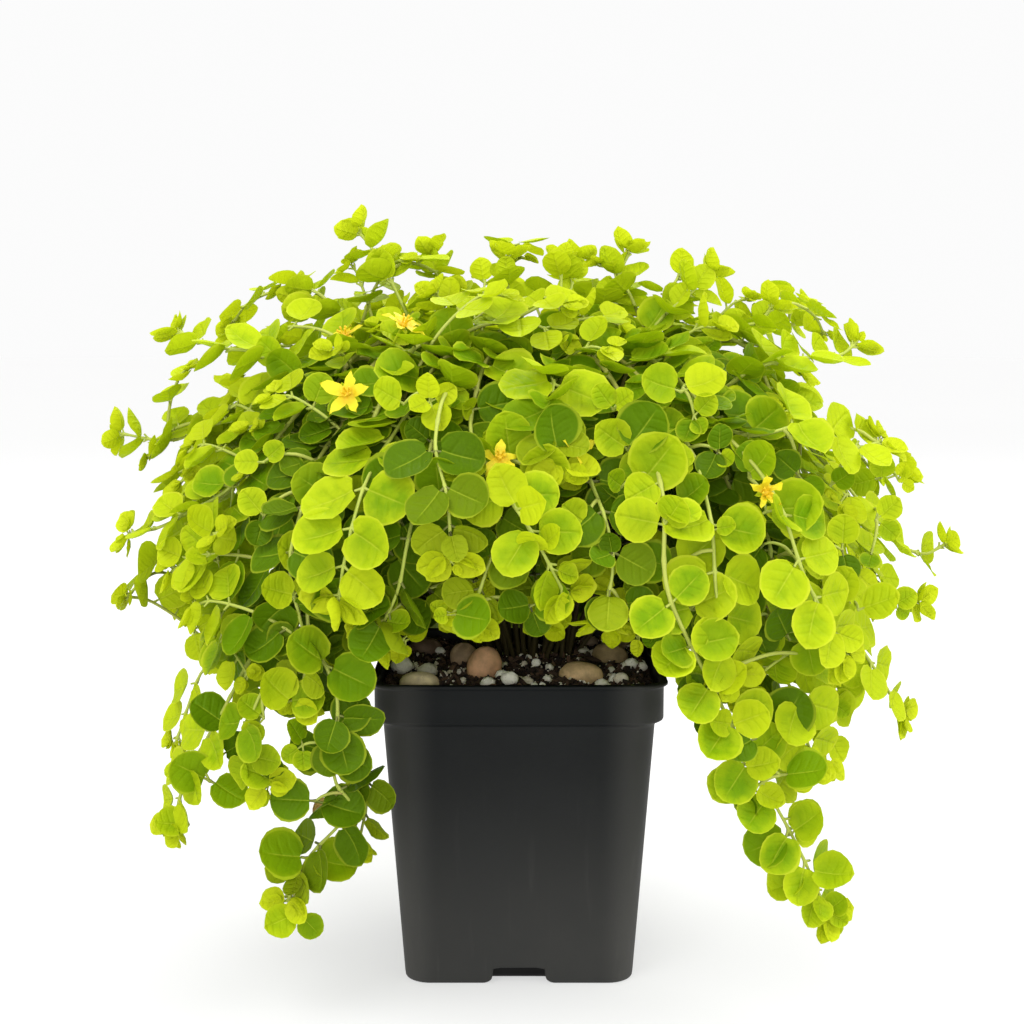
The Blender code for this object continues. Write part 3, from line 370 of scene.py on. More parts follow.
class Leaf:
    """One round leaf: its foot on the stem, the way it points, its upper side, its radius."""

    def __init__(self, foot, way, upper, radius):
        self.foot = foot
        self.way = way.normalized()
        self.upper = (upper - self.way * upper.dot(self.way)).normalized()
        self.across = self.way.cross(self.upper)
        self.radius = radius

    def middle(self):
        return self.foot + self.way * (PETIOLE + self.radius)

    def place(self, out, side, lift=0.0):
        return self.foot + self.way * out + self.across * side + self.upper * lift

    def rim(self, extra=0.0):
        """Two near corners, two far corners and the tip of the six-sided blade."""
        wide = (self.radius * 1.05 + extra) * math.sin(math.pi / 3)
        near = PETIOLE + self.radius * 0.5 - extra * 0.5
        far = PETIOLE + self.radius * 1.55 + extra * 0.5
        tip = PETIOLE + self.radius * 2.06 + extra
        return (near, -wide), (near, wide), (far, -wide), (far, wide), (tip, 0.0)

    def keel(self, extra=0.0):
        return self.place(PETIOLE + self.radius, 0, -max(0.7, self.radius * LEAF_KEEL) - extra)

    def skin(self, below, left, right):
        """The faces of the blade and its stalk, grown from a triangle on the stem."""
        near_l, near_r, far_l, far_r, tip = (self.place(*point) for point in self.rim())
        keel = self.keel()
        faces = halves([left, right, near_r, near_l]) + halves([right, below, keel, near_r])
        faces += halves([below, left, near_l, keel]) + halves([near_l, near_r, far_r, far_l])
        faces += [(near_l, far_l, keel), (near_r, keel, far_r)]
        return faces + [(far_l, far_r, tip), (far_l, tip, keel), (far_r, keel, tip)]

    def shape(self, extra):
        """The leaf as a plain body for trying its room, swollen by the extra."""
        near_l, near_r, far_l, far_r, tip = self.rim(extra)
        start = STEM_RADIUS * 0.75
        outline = [(start, -0.8 - extra), near_l, far_l, tip, far_r, near_r, (start, 0.8 + extra)]
        count = len(outline)
        verts = [self.place(*point, lift) for lift in (extra, -extra) for point in outline]
        verts.append(self.keel(extra))
        faces = [list(range(count))]
        faces += [(i, (i + 1) % count, count + (i + 1) % count, count + i) for i in range(count)]
        faces += [(count + i, count + (i + 1) % count, 2 * count) for i in range(count)]
        return verts, faces


def spread_leaf(foot, along_stem, light, side, turn, node, radius, lean):
    """A leaf at a node: out to its side and turned to the light, or cupped round the stem where that faces
    the light."""
    age = min(node / 4.0, 1.0)
    open_angle = math.radians(34 + 44 * age)
    level = light.cross(along_stem)
    if level.length < 0.2:
        level = Vector((0, 0, 1)).cross(along_stem)
    if level.length < 0.2:
        level = Vector((1, 0, 0))
    level.normalize()
    facing = abs(light.dot(along_stem))
    flat = 1 - min(max((facing - 0.5) / 0.35, 0), 1)
    if flat < 0.35 and turn:
        level = along_stem.cross(level).normalized()
    out = level * side
    way = out * math.sin(open_angle) + along_stem * math.cos(open_angle)
    cup = along_stem * math.sin(open_angle) - out * math.cos(open_angle)
    upper = light * flat + cup * (1 - flat + 0.25 * (1 - age))
    leaf = Leaf(foot, way, upper, radius)
    pitch, roll, yaw = lean
    turned = Matrix.Rotation(yaw, 3, leaf.upper) @ Matrix.Rotation(roll, 3, leaf.way)
    turned = turned @ Matrix.Rotation(pitch, 3, leaf.across)
    return Leaf(foot, turned @ leaf.way, turned @ leaf.upper, radius)


def halves(quad):
    """The two triangles of a four-sided face, cut along its shorter diagonal."""
    a, b, c, d = quad
    if (a - c).length <= (b - d).length:
        return [(a, b, c), (a, c, d)]
    return [(a, b, d), (b, c, d)]


def edges_of(triangles):
    return np.array([(a, b) for triangle in triangles for a, b in zip(triangle, triangle[1:] + triangle[:1])])


def crossing(edges, triangles, near=5e-3):
    """Whether any edge goes through any triangle, leaving out the ends of the edges."""
    corner, one, other = triangles[:, 0], triangles[:, 1] - triangles[:, 0], triangles[:, 2] - triangles[:, 0]
    way = (edges[:, 1] - edges[:, 0])[:, None]
    side = np.cross(way, other[None])
    size = (one[None] * side).sum(axis=2)
    flat = np.abs(size) < 1e-9
    scale = 1 / np.where(flat, 1, size)
    start = edges[:, 0][:, None] - corner[None]
    u = (start * side).sum(axis=2) * scale
    turned = np.cross(start, one[None])
    v = (way * turned).sum(axis=2) * scale
    t = (other[None] * turned).sum(axis=2) * scale
    inside = (u > -near) & (v > -near) & (u + v < 1 + near) & (t > near) & (t < 1 - near)
    return bool((inside & ~flat).any())


class Vine:
    def __init__(self, name, size, count, path):
        self.name = name
        self.size = size
        self.path = path
        self.total = path[1][-1]
        self.nodes = node_lengths(self.total, count)
        first = min(self.nodes)
        bare = max(3, math.ceil(first / BARE_STEP))
        stations = [first * i / bare for i in range(bare)]
        for length in sorted(self.nodes):
            stations += [length - NODE_HALF, length + NODE_HALF]
        self.stations = stations
        self.rings = self.make_rings()
        self.leaves = {}
        self.cuts = {}

    def width(self, length):
        return STEM_RADIUS + (TIP_RADIUS - STEM_RADIUS) * (length / self.total) ** 2

    def make_rings(self):
        """The three corners of the stem at each station."""
        places = [along(self.path, length)[0] for length in self.stations]
        chords = [(after - before).normalized() for before, after in zip(places, places[1:])]
        across = Vector((0.3, 1, 0.2))
        rings = []
        for i, place in enumerate(places):
            way = (chords[max(i - 1, 0)] + chords[min(i, len(chords) - 1)]).normalized()
            across = (across - way * across.dot(way)).normalized()
            arm = across * self.width(self.stations[i])
            rings.append([place + Matrix.Rotation(turn * math.tau / 3, 3, way) @ arm for turn in range(3)])
        return rings

    def station(self, node):
        """The ring below a leaf node."""
        return len(self.rings) - 2 * (node + 1)

    def segments(self, extra):
        """The stem as short three-sided bodies, for trying room."""
        shapes = []
        for low, high in zip(self.rings, self.rings[1:]):
            verts = []
            for ring in (low, high):
                middle = sum(ring, Vector()) / 3
                verts += [corner + (corner - middle).normalized() * extra for corner in ring]
            faces = [(2, 1, 0), (3, 4, 5), (0, 1, 4, 3), (1, 2, 5, 4), (2, 0, 3, 5)]
            shapes.append((verts, faces))
        return shapes

    def quad(self, station, side):
        low, high = self.rings[station], self.rings[station + 1]
        following = (side + 1) % 3
        return [low[side], low[following], high[following], high[side]]

    def skin(self, node, cuts):
        """The faces of the stem and leaves near a node, without the triangles that leaves grow from."""
        middle = self.station(node)
        found = []
        for station in range(max(middle - 3, 0), min(middle + 4, len(self.rings) - 1)):
            for side in range(3):
                quad = self.quad(station, side)
                if (station, side) in cuts:
                    skipped = cuts[station, side]
                    found.append(tuple(quad[(skipped + i) % 4] for i in (-1, 0, 1)))
                else:
                    found += halves(quad)
        for (placed, side), leaf in self.leaves.items():
            if placed == node:
                found += leaf.faces
        return found

    def seat(self, node, leaf):
        """Choose the stem's triangle from which the leaf grows with the least twist, crossing nothing."""
        station = self.station(node)
        choices = []
        for side in range(3):
            if (station, side) in self.cuts:
                continue
            quad = self.quad(station, side)
            normal = (quad[1] - quad[0]).cross(quad[3] - quad[0]).normalized()
            for skipped in range(4):
                triangle = [quad[(skipped + i) % 4] for i in (1, 2, 3)]
                for turn in range(3):
                    below, left, right = (triangle[(turn + i) % 3] for i in range(3))
                    score = 1.6 * normal.dot(leaf.way)
                    score += (right - left).normalized().dot(leaf.across)
                    score += ((left + right) / 2 - below).normalized().dot(leaf.upper)
                    choices.append((score, side, skipped, below, left, right))
        choices.sort(key=lambda choice: -choice[0])
        for score, side, skipped, below, left, right in choices[:14]:
            if score < 0.4:
                break
            faces = leaf.skin(below, left, right)
            around = self.skin(node, {**self.cuts, (station, side): skipped})
            own, other = np.array(faces), np.array(around)
            if crossing(edges_of(faces), np.concatenate([own, other])) or crossing(edges_of(around), own):
                continue
            self.cuts[station, side] = skipped
            leaf.faces = faces
            return True
        return False


def place_vines(crowd, chance):
    vines = []
    for (name, size, count, points), spot in zip(VINES, root_places()):
        for attempt in range(240):
            shake = min(0.25 * attempt, 9.0)
            near = min(0.1 * attempt, 4.0)
            shift = (chance.uniform(-near, near), chance.uniform(-near, near))
            root = Vector((spot[0] + shift[0], spot[1] + shift[1], ROOT_HEIGHT))
            route = stem_route(root, points)
            moved = [route[0]]
            for i, point in enumerate(route[1:]):
                last = i == len(route) - 2
                amount = shake * (0.3 if last else 1.0)
                moved.append(point + Vector([chance.uniform(-amount, amount) for axis in range(3)]))
            vine = Vine(name, size, count, smooth_path(moved))
            shapes = vine.segments(0.7)
            if not any(crowd.meets(shape, [("pot", 0)]) for shape in shapes):
                break
        for i, shape in enumerate(vine.segments(0.0)):
            crowd.add(shape, (name, i))
        vines.append(vine)
    return vines


def place_leaves(vines, crowd, chance):
    """Pair by pair from the tips back, each leaf tilted or made smaller until it has room, or left out."""
    for node in range(max(len(vine.nodes) for vine in vines)):
        for vine in vines:
            if node >= len(vine.nodes):
                continue
            station = vine.station(node)
            spared = [(vine.name, i) for i in range(station - 2, station + 3)]
            foot, way = along(vine.path, vine.nodes[node])
            light = light_at(foot)
            for side in (-1, 1):
                yaw, roll = chance.uniform(-0.2, 0.2), 0.22 + chance.uniform(-0.12, 0.12)
                base = (yaw, roll, chance.uniform(-0.15, 0.15))
                for attempt in range(26):
                    swing = 0.055 * attempt
                    lean = [angle + chance.uniform(-swing, swing) for angle in base]
                    radius = vine.size * growth(node) * chance.uniform(0.93, 1.05) * (1 - 0.012 * attempt)
                    leaf = spread_leaf(foot, way, light, side, node % 2, node, radius, lean)
                    if not crowd.meets(leaf.shape(LEAF_CLEARANCE), spared) and vine.seat(node, leaf):
                        vine.leaves[node, side] = leaf
                        crowd.add(leaf.shape(0.0), (vine.name, "leaf"))
                        break


def flower_frame(facing):
    facing = Vector(facing).normalized()
    side = facing.cross(Vector((0.31, 0.17, 1))).normalized()
    return Matrix((side, facing.cross(side), facing)).transposed()


def flower_shape(centre, facing, radius):
    """A star of five petals as a shallow funnel with a thin stalk behind it, swollen a little."""
    extra = 0.3
    bm = bmesh.new()
    rim = bmesh.ops.create_circle(bm, cap_ends=True, segments=10, radius=radius + extra)["verts"]
    face = bm.faces[:][0]
    if face.normal.z > 0:
        face.normal_flip()
    for i, vert in enumerate(sorted(rim, key=lambda vert: math.atan2(vert.co.y, vert.co.x))):
        vert.co = vert.co * (0.45 + 0.05 * extra if i % 2 else 1.0)
        vert.co.z = -extra if i % 2 else 0.8 + extra
    corners = list(face.verts)
    throat = [vert.co.normalized() * (0.8 + extra) + Vector((0, 0, -2.6 - extra)) for vert in corners]
    face, corners = grow(bm, face, corners, throat)
    foot = bmesh.ops.poke(bm, faces=[face])["verts"][0]
    foot.co = Vector((0, 0, -9.0 - extra))
    edge = [e for e in bm.edges if e.is_boundary]
    front = bmesh.ops.holes_fill(bm, edges=edge, sides=0)["faces"]
    middle = bmesh.ops.poke(bm, faces=front)["verts"][0]
    middle.co = Vector((0, 0, extra - 0.6))
    turned = flower_frame(facing)
    for vert in bm.verts:
        vert.co = Vector(centre) + turned @ vert.co
    return bm


def plain_shape(bm):
    bm.verts.index_update()
    shape = [vert.co.copy() for vert in bm.verts], [[vert.index for vert in face.verts] for face in bm.faces]
    bm.free()
    return shape


def add_obstacles(crowd):
    levels = [
        (-5, BASE_HALF + 1, 2),
        (BODY_TOP, BODY_TOP_HALF + 1, 2),
        (BAND_BOTTOM, LIP_HALF + 0.6, 2),
        (POT_HEIGHT + 0.6, LIP_HALF + 0.6, 2),
    ]
    crowd.add(plain_shape(loft(levels)), ("pot", 0))
    for seed, pebble in enumerate(PEBBLES):
        crowd.add(plain_shape(pebble_shape(pebble, seed, 0.3)), ("pebble", seed))
    for name, centre, facing, radius in FLOWERS:
        crowd.add(plain_shape(flower_shape(centre, facing, radius)), (name, 0))


def seen_at(points):
    """Where points show in the picture, as pixels across and down, and how many pixels a millimetre takes.

    The camera is a plain pinhole that looks a little down.
    """
    dip = math.radians(CAMERA_DIP)
    ahead = np.array((0.0, math.cos(dip), -math.sin(dip)))
    above = np.array((0.0, math.sin(dip), math.cos(dip)))
    reach = np.asarray(points, float) - np.array(CAMERA_PLACE)
    depth = reach @ ahead
    across = PICTURE / 2 + SHARP * reach[..., 0] / depth
    down = PICTURE / 2 - SHARP * (reach @ above) / depth
    return across, down, SHARP / depth


def ray(across, down):
    """The direction in which the camera sees a pixel, one step ahead."""
    dip = math.radians(CAMERA_DIP)
    aside, up = (across - PICTURE / 2) / SHARP, (PICTURE / 2 - down) / SHARP
    return np.stack([aside, math.cos(dip) + up * math.sin(dip), -math.sin(dip) + up * math.cos(dip)], -1)


def spot_at(across, down, back):
    """The place that shows at this pixel and lies this far back: the inverse of seen_at."""
    way = ray(across, down)
    return np.array(CAMERA_PLACE) + way * (back - CAMERA_PLACE[1]) / way[1]


def unit(ways):
    """The same directions with a length of one."""
    return ways / np.maximum(np.linalg.norm(ways, axis=-1, keepdims=True), 1e-9)


def ripples(points, scale, seed, waves=14):
    """A smooth random height: sine waves in random directions, with lengths near the scale, added up."""
    dice = np.random.default_rng(seed)
    ways = unit(dice.normal(size=(waves, points.shape[-1])))
    lengths = scale * dice.uniform(0.6, 1.7, waves)
    phase = points @ (ways / lengths[:, None]).T * TURN + dice.uniform(0, TURN, waves)
    return np.sin(phase).sum(axis=-1) / math.sqrt(waves)


def grid_faces(rows, columns, loop_rows=False, loop_columns=False):
    """The triangles of a grid of points, row by row; a looped side joins its last line to its first."""
    row = np.arange(rows if loop_rows else rows - 1)[:, None]
    column = np.arange(columns if loop_columns else columns - 1)[None]
    below, right = (row + 1) % rows, (column + 1) % columns
    corners = ((row, column), (row, right), (below, right), (below, column))
    a, b, c, d = (np.broadcast_to(i * columns + j, (row.size, column.size)).ravel() for i, j in corners)
    return np.concatenate([np.stack([a, b, c], 1), np.stack([a, c, d], 1)])


def fan(middle, first, columns, flip=False):
    """The triangles from one point to a ring of points that starts at the first."""
    edge = np.arange(columns)
    ring = [first + edge, first + (edge + 1) % columns]
    return np.stack([np.full(columns, middle), *(ring[::-1] if flip else ring)], 1)


def copies(faces, points_each, count):
    """The same triangles for each of many shapes whose points follow one another."""
    return (faces[None] + (np.arange(count) * points_each)[:, None, None]).reshape(-1, 3)


class Parts:
    """Points, triangles, picture coordinates and tones of several shapes, gathered into one piece."""

    def __init__(self):
        self.points, self.faces, self.flat, self.tones, self.looks = [], [], [], [], []
        self.count = 0

    def add(self, points, faces, flat=None, tones=None, look=0):
        points = np.asarray(points, float).reshape(-1, 3)
        flat = np.zeros((len(points), 2)) if flat is None else np.broadcast_to(flat, (len(points), 2))
        tones = np.zeros((len(points), 3)) if tones is None else np.broadcast_to(tones, (len(points), 3))
        self.points.append(points)
        self.faces.append(faces + self.count)
        self.flat.append(flat)
        self.tones.append(tones)
        self.looks.append(np.broadcast_to(np.asarray(look), len(faces)))
        self.count += len(points)


def put_piece(name, parts, looks, slot, nodes=(), smooth=True):
    """Turn gathered shapes into one object at the origin, with surface coordinates, tones and materials."""
    points = np.concatenate(parts.points) * MM
    faces = np.concatenate(parts.faces)
    mesh = bpy.data.meshes.new(name)
    mesh.vertices.add(len(points))
    mesh.vertices.foreach_set("co", points.astype(np.float32).ravel())
    mesh.loops.add(faces.size)
    mesh.loops.foreach_set("vertex_index", faces.astype(np.int32).ravel())
    mesh.polygons.add(len(faces))
    mesh.polygons.foreach_set("loop_start", np.arange(0, faces.size, 3, dtype=np.int32))
    mesh.polygons.foreach_set("material_index", np.concatenate(parts.looks).astype(np.int32))
    mesh.polygons.foreach_set("use_smooth", np.full(len(faces), smooth))
    flat = mesh.uv_layers.new(name="surface")
    flat.data.foreach_set("uv", np.concatenate(parts.flat)[faces.ravel()].astype(np.float32).ravel())
    tones = np.concatenate(parts.tones)
    tone = mesh.color_attributes.new(name="tone", type="FLOAT_COLOR", domain="POINT")
    tone.data.foreach_set("color", np.hstack([tones, np.ones((len(tones), 1))]).astype(np.float32).ravel())
    mesh.update(calc_edges=True)
    mesh.validate()
    for look in looks:
        mesh.materials.append(look)
    piece = bpy.data.objects.new(name, mesh)
    bpy.context.scene.collection.objects.link(piece)
    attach(piece, "root")
    if nodes:
        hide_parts(*nodes)
    return piece


def operation(kind, turned=False):
    """A method of Value that adds one maths node of this kind, its two sides changed over where turned."""

    def added(self, *other):
        return self.maths(kind, *(*other, self) if turned else (self, *other))

    return added


class Value:
    """A socket of a material's node, on which arithmetic is written as on numbers."""

    def __init__(self, sheet, socket):
        self.sheet = sheet
        self.socket = socket

    def maths(self, kind, *sides):
        return self.sheet.node("ShaderNodeMath", {"operation": kind}, dict(enumerate(sides)))

    __add__ = __radd__ = operation("ADD")
    __mul__ = __rmul__ = operation("MULTIPLY")
    __sub__ = operation("SUBTRACT")
    __rsub__ = operation("SUBTRACT", True)
    __mod__ = operation("FLOORED_MODULO")
    __abs__ = operation("ABSOLUTE")

    def between(self, low, high):
        """0 below the low value and 1 above the high one, with a soft step."""
        kind = {"interpolation_type": "SMOOTHSTEP"}
        return self.sheet.node("ShaderNodeMapRange", kind, {"Value": self, "From Min": low, "From Max": high})


class Sheet:
    """The node sheet of one material, ending in one shader."""

    def __init__(self, name):
        self.material = bpy.data.materials.new(name)
        self.material.use_nodes = True
        self.tree = self.material.node_tree
        self.tree.nodes.clear()

    def node(self, kind, settings=None, values=None, out=0):
        """Add one node, make its settings, then its sockets' values or links, and give one of its outputs."""
        made = self.tree.nodes.new(kind)
        for name, setting in (settings or {}).items():
            setattr(made, name, setting)
        for name, value in (values or {}).items():
            if isinstance(value, Value):
                self.tree.links.new(value.socket, made.inputs[name])
            else:
                made.inputs[name].default_value = value
        return Value(self, made.outputs[out]) if made.outputs else None

    def object_place(self):
        return self.node("ShaderNodeTexCoord", out="Object")

    def surface(self):
        """The two picture coordinates of the piece's own surface."""
        return self.split(self.node("ShaderNodeUVMap", {"uv_map": "surface"}))

    def tones(self):
        return self.split(self.node("ShaderNodeAttribute", {"attribute_name": "tone"}, out="Vector"))

    def split(self, vector):
        first = self.node("ShaderNodeSeparateXYZ", values={0: vector})
        return [Value(self, output) for output in first.socket.node.outputs]

    def cloud(self, place, scale, detail=3.0, rough=0.5):
        """Soft noise from 0 to 1."""
        values = {"Vector": place, "Scale": scale, "Detail": detail, "Roughness": rough}
        return self.node("ShaderNodeTexNoise", values=values)

    def mix(self, share, first, second):
        """One colour into another by a share."""
        values = {0: share}
        for key, colour in ((6, first), (7, second)):
            values[key] = colour if isinstance(colour, Value) else (*colour, 1.0)
        return self.node("ShaderNodeMix", {"data_type": "RGBA"}, values, out=2)

    def raised(self, height, depth, strength):
        """A bump of this height pattern; the depth is in metres."""
        return self.node("ShaderNodeBump", values={"Height": height, "Distance": depth, "Strength": strength})

    def coat(self, colour, rough, bump, shine=None, more=None):
        """The usual shader, with the strength of its mirror light where that isn't the usual one."""
        values = {"Base Color": colour, "Roughness": rough, "Normal": bump, "Specular IOR Level": shine}
        values = {name: value for name, value in {**values, **(more or {})}.items() if value is not None}
        return self.node("ShaderNodeBsdfPrincipled", values=values)

    def thin(self, coat, through, share):
        """A coat that lets a share of the light from behind through, in the given colour."""
        behind = self.node("ShaderNodeBsdfTranslucent", values={"Color": (*through, 1.0)})
        return self.node("ShaderNodeMixShader", values={0: share, 1: coat, 2: behind})

    def end(self, shader):
        self.node("ShaderNodeOutputMaterial", values={"Surface": shader})
        return self.material


def scaled(colour, amount):
    """The same colour, darker or paler by a factor."""
    return tuple(amount * part for part in colour)


def pot_plastic(sizes):
    """Black moulded plastic: a fine grain, faint rubbed marks, dust and a painted floor reflection low down,
    a painted reflection at the corners, and painted shade on the band and under the pot.
    """
    sheet = Sheet("black_plastic_moulded")
    place = sheet.object_place()
    grain = sheet.cloud(place, 2600.0, 2.0)
    clouds = sheet.cloud(place, 26.0, 4.0, 0.6)
    streaks = sheet.node("ShaderNodeMapping", values={"Vector": place, "Scale": (1.0, 1.0, 0.06)})
    rubbed = sheet.cloud(streaks, 240.0, 3.0, 0.6).between(0.56, 0.8)
    x, y, z = sheet.split(place)
    low = 1 - z.between(0.0, 0.088)
    dust = low * clouds.between(0.35, 0.75)
    colour = sheet.mix(clouds.between(0.3, 0.7), sizes.pot_colour, scaled(sizes.pot_colour, 0.8))
    # Painted shade: the band under the lip is made nearly black.
    colour = sheet.mix(z.between(0.0915, 0.0945) * 0.96, colour, (0.0050, 0.0060, 0.0063))
    # Painted reflection: the four vertical corners are made paler.
    nearer = x.maths("MINIMUM", abs(x), abs(y))
    corner = nearer.between(0.027, 0.040)
    # Paler low down: the dust patches and rubbed marks are the plastic's own, and the even paling there is a
    # painted reflection of the floor.
    worn = rubbed * low * 0.2 + dust * 0.12 + low * 0.42 + corner * 0.5
    colour = sheet.mix(worn, colour, (0.055, 0.054, 0.050))
    # Painted shade: low down inside the base, in the drain channels, the underside is made nearly black.
    further = x.maths("MAXIMUM", abs(x), abs(y))
    under = (1 - z.between(0.0045, 0.0062)) * (1 - further.between(0.0383, 0.0392))
    under = under * (1 - nearer.between(0.0100, 0.0115))
    colour = sheet.mix(under * 0.95, colour, (0.0004, 0.0004, 0.0004))
    rough = 0.46 + clouds * 0.1 - rubbed * 0.06 + dust * 0.1
    bump = sheet.raised(grain * 0.7 + clouds * 0.3, 0.00006, 0.5)
    return sheet.end(sheet.coat(colour, rough, bump, 0.1))


def soil_mix():
    """Moist dark peat: nearly black, with brown fibres and paler specks."""
    sheet = Sheet("potting_mix_moist")
    place = sheet.object_place()
    lumps = sheet.cloud(place, 320.0, 5.0, 0.65)
    fine = sheet.cloud(place, 1500.0, 4.0, 0.7)
    brown = sheet.mix(lumps.between(0.38, 0.68), (0.010, 0.006, 0.004), (0.060, 0.030, 0.016))
    colour = sheet.mix(fine.between(0.6, 0.78) * 0.6, brown, (0.15, 0.085, 0.048))
    bump = sheet.raised(lumps * 0.6 + fine * 0.4, 0.0009, 0.9)
    rough = 0.92 - lumps.between(0.2, 0.45) * 0.2
    return sheet.end(sheet.coat(colour, rough, bump))


def crumb_look(name, dark, pale, rough):
    """Peat or bark crumbs: each with its own tone between a dark and a pale colour, and a fibrous surface."""
    sheet = Sheet(name)
    own = sheet.tones()[0]
    place = sheet.object_place()
    fine = sheet.cloud(place, 1700.0, 4.0, 0.65)
    colour = sheet.mix(own * 0.8 + fine * 0.3 - 0.1, dark, pale)
    bump = sheet.raised(fine, 0.0003, 0.7)
    return sheet.end(sheet.coat(colour, rough, bump))


def stone_look(number, colour):
    """A smooth river pebble: mottled in its own colour, with fine specks, dusty and dull."""
    sheet = Sheet(f"stone_{number}_pebble")
    place = sheet.object_place()
    cloud = sheet.cloud(place, 130.0 + 14 * number, 4.0, 0.6)
    turned = {"Vector": place, "Rotation": (0.4, 0.9, number), "Scale": (1.0, 1.0, 4.0)}
    layer = sheet.cloud(sheet.node("ShaderNodeMapping", values=turned), 70.0, 3.0, 0.5)
    specks = sheet.cloud(place, 1500.0, 2.0, 0.8)
    pale = tuple(min(1.0, 1.3 * part + 0.03) for part in colour)
    mixed = sheet.mix(cloud.between(0.3, 0.7), scaled(colour, 0.62), pale)
    mixed = sheet.mix(layer.between(0.45, 0.65) * 0.4, mixed, scaled(colour, 0.8))
    mixed = sheet.mix(specks.between(0.62, 0.75) * 0.5, mixed, scaled(colour, 0.45))
    bump = sheet.raised(cloud * 0.6 + specks * 0.4, 0.00025, 0.6)
    return sheet.end(sheet.coat(mixed, 0.62 + cloud * 0.2, bump))


def pumice_look():
    """Pale porous chips: chalky white to grey or beige, pitted."""
    sheet = Sheet("pumice_pale")
    own, warm = sheet.tones()[:2]
    place = sheet.object_place()
    pits = sheet.node("ShaderNodeTexVoronoi", values={"Vector": place, "Scale": 1500.0})
    cloud = sheet.cloud(place, 700.0, 4.0, 0.65)
    pale = sheet.mix(own, (0.86, 0.78, 0.62), (1.0, 0.97, 0.84))
    tinted = sheet.mix(warm * 0.7, pale, (0.70, 0.55, 0.36))
    # Darker in the pits of the surface and in soft patches.
    darker_pits_and_patches = (1 - pits.between(0.1, 0.3)) * 0.35 + cloud.between(0.55, 0.8) * 0.25
    colour = sheet.mix(darker_pits_and_patches, tinted, (0.24, 0.19, 0.14))
    bump = sheet.raised(pits * 0.6 + cloud * 0.4, 0.0004, 0.9)
    return sheet.end(sheet.coat(colour, 0.9, bump))


def leaf_look(name, through, glow, sizes):
    """A leaf: greener where it is old, darker and greener with painted shade deep in the mound, paler towards
    its rim, partly painted shade of its cupped middle, with sunk veins drawn darker as painted shade, and a
    pale margin.
    """
    sheet = Sheet(name)
    tone, youth, depth = sheet.tones()
    along_leaf, across = sheet.surface()[:2]
    length = along_leaf * 2 - 1
    side = abs(across * 2 - 1)
    far = length * length + side * side
    place = sheet.object_place()
    cloud = sheet.cloud(place, 190.0, 3.0, 0.55)
    fine = sheet.cloud(place, 1300.0, 3.0, 0.6)
    midrib = 1 - side.between(0.0, 0.14)
    arched = (length - side * 0.62 + side * side * 0.22 + cloud * 0.16 + 2.0) % 0.44
    veins = (1 - abs(arched - 0.22).between(0.0, 0.12)) * (1 - side.between(0.5, 0.9)) * 0.6
    lines = (midrib + veins) * (1 - far.between(0.75, 0.95))
    pale_line = (1 - side.between(0.0, 0.045)) * (1 - length.between(0.2, 0.8))
    rim = far.between(0.84, 1.0)
    # The share of the pale colour: a random tone, paler towards the rim, partly the leaf's own colour and
    # partly painted shade of its cupped middle, and less with painted shade deep in the mound.
    light = tone * 0.6 + cloud.between(0.3, 0.7) * 0.25 + far.between(0.05, 0.9) * 0.3 - depth * 1.5
    base = sheet.mix(light.between(0.0, 0.85), sizes.leaf_colour, sizes.pale_colour)
    # Painted shade: the deeper a leaf lies in the mound, the nearer it comes to the shaded colour.
    base = sheet.mix(depth.between(-0.12, 0.85) * 0.96, base, sizes.shade_colour)
    base = sheet.mix(youth * (0.75 + tone * 0.25), base, sizes.young_colour)
    # Painted shade: the sunk veins are drawn darker, as the shade in their creases.
    base = sheet.mix(lines * 0.09 * (1 - youth * 0.5), base, sizes.leaf_colour)
    base = sheet.mix(pale_line * 0.4 * (1 - depth * 0.5), base, (0.58, 0.62, 0.05))
    base = sheet.mix(rim * 0.5 * (1 - depth * 0.7), base, (0.60, 0.64, 0.035))
    colour = sheet.mix(fine.between(0.5, 0.8) * 0.14, base, sizes.leaf_colour)
    bump = sheet.raised(lines * -0.5 + cloud * 1.3, 0.0006, 0.8)
    return sheet.end(sheet.thin(sheet.coat(colour, 0.46 + cloud * 0.14, bump, 0.06), through, glow))


def stem_look(sizes):
    """A thin trailing stem: tan where it is old, yellow green at its tip, with a mottled skin, and painted
    shade that makes it nearly black deep in the mound.
    """
    sheet = Sheet("stem_skin")
    age, tone, depth = sheet.tones()
    cloud = sheet.cloud(sheet.object_place(), 300.0, 3.0, 0.6)
    colour = sheet.mix(age.between(0.15, 0.85), sizes.stem_old_colour, sizes.stem_young_colour)
    colour = sheet.mix(cloud.between(0.5, 0.8) * 0.4, colour, (0.30, 0.33, 0.06))
    # Painted shade: deep in the mound the stem is made nearly black.
    colour = sheet.mix(depth * 0.9, colour, (0.022, 0.022, 0.006))
    return sheet.end(sheet.coat(colour, 0.55, sheet.raised(cloud, 0.0003, 0.5), 0.35))


def petal_look(sizes):
    """A golden yellow petal: deeper at its foot, with faint lines out to its tip, and lit from behind."""
    sheet = Sheet("yellow_petal_silk")
    along_petal, across = sheet.surface()[:2]
    cloud = sheet.cloud(sheet.object_place(), 500.0, 3.0, 0.6)
    lines = abs((across * 9.0) % 1.0 - 0.5).between(0.28, 0.5)
    colour = sheet.mix(along_petal.between(0.0, 0.6), (0.80, 0.52, 0.008), sizes.petal_colour)
    colour = sheet.mix(lines * 0.22 + cloud.between(0.5, 0.8) * 0.2, colour, (0.82, 0.62, 0.010))
    bump = sheet.raised(lines + cloud * 0.5, 0.0002, 0.5)
    return sheet.end(sheet.thin(sheet.coat(colour, 0.55, bump), (0.90, 0.78, 0.02), 0.3))


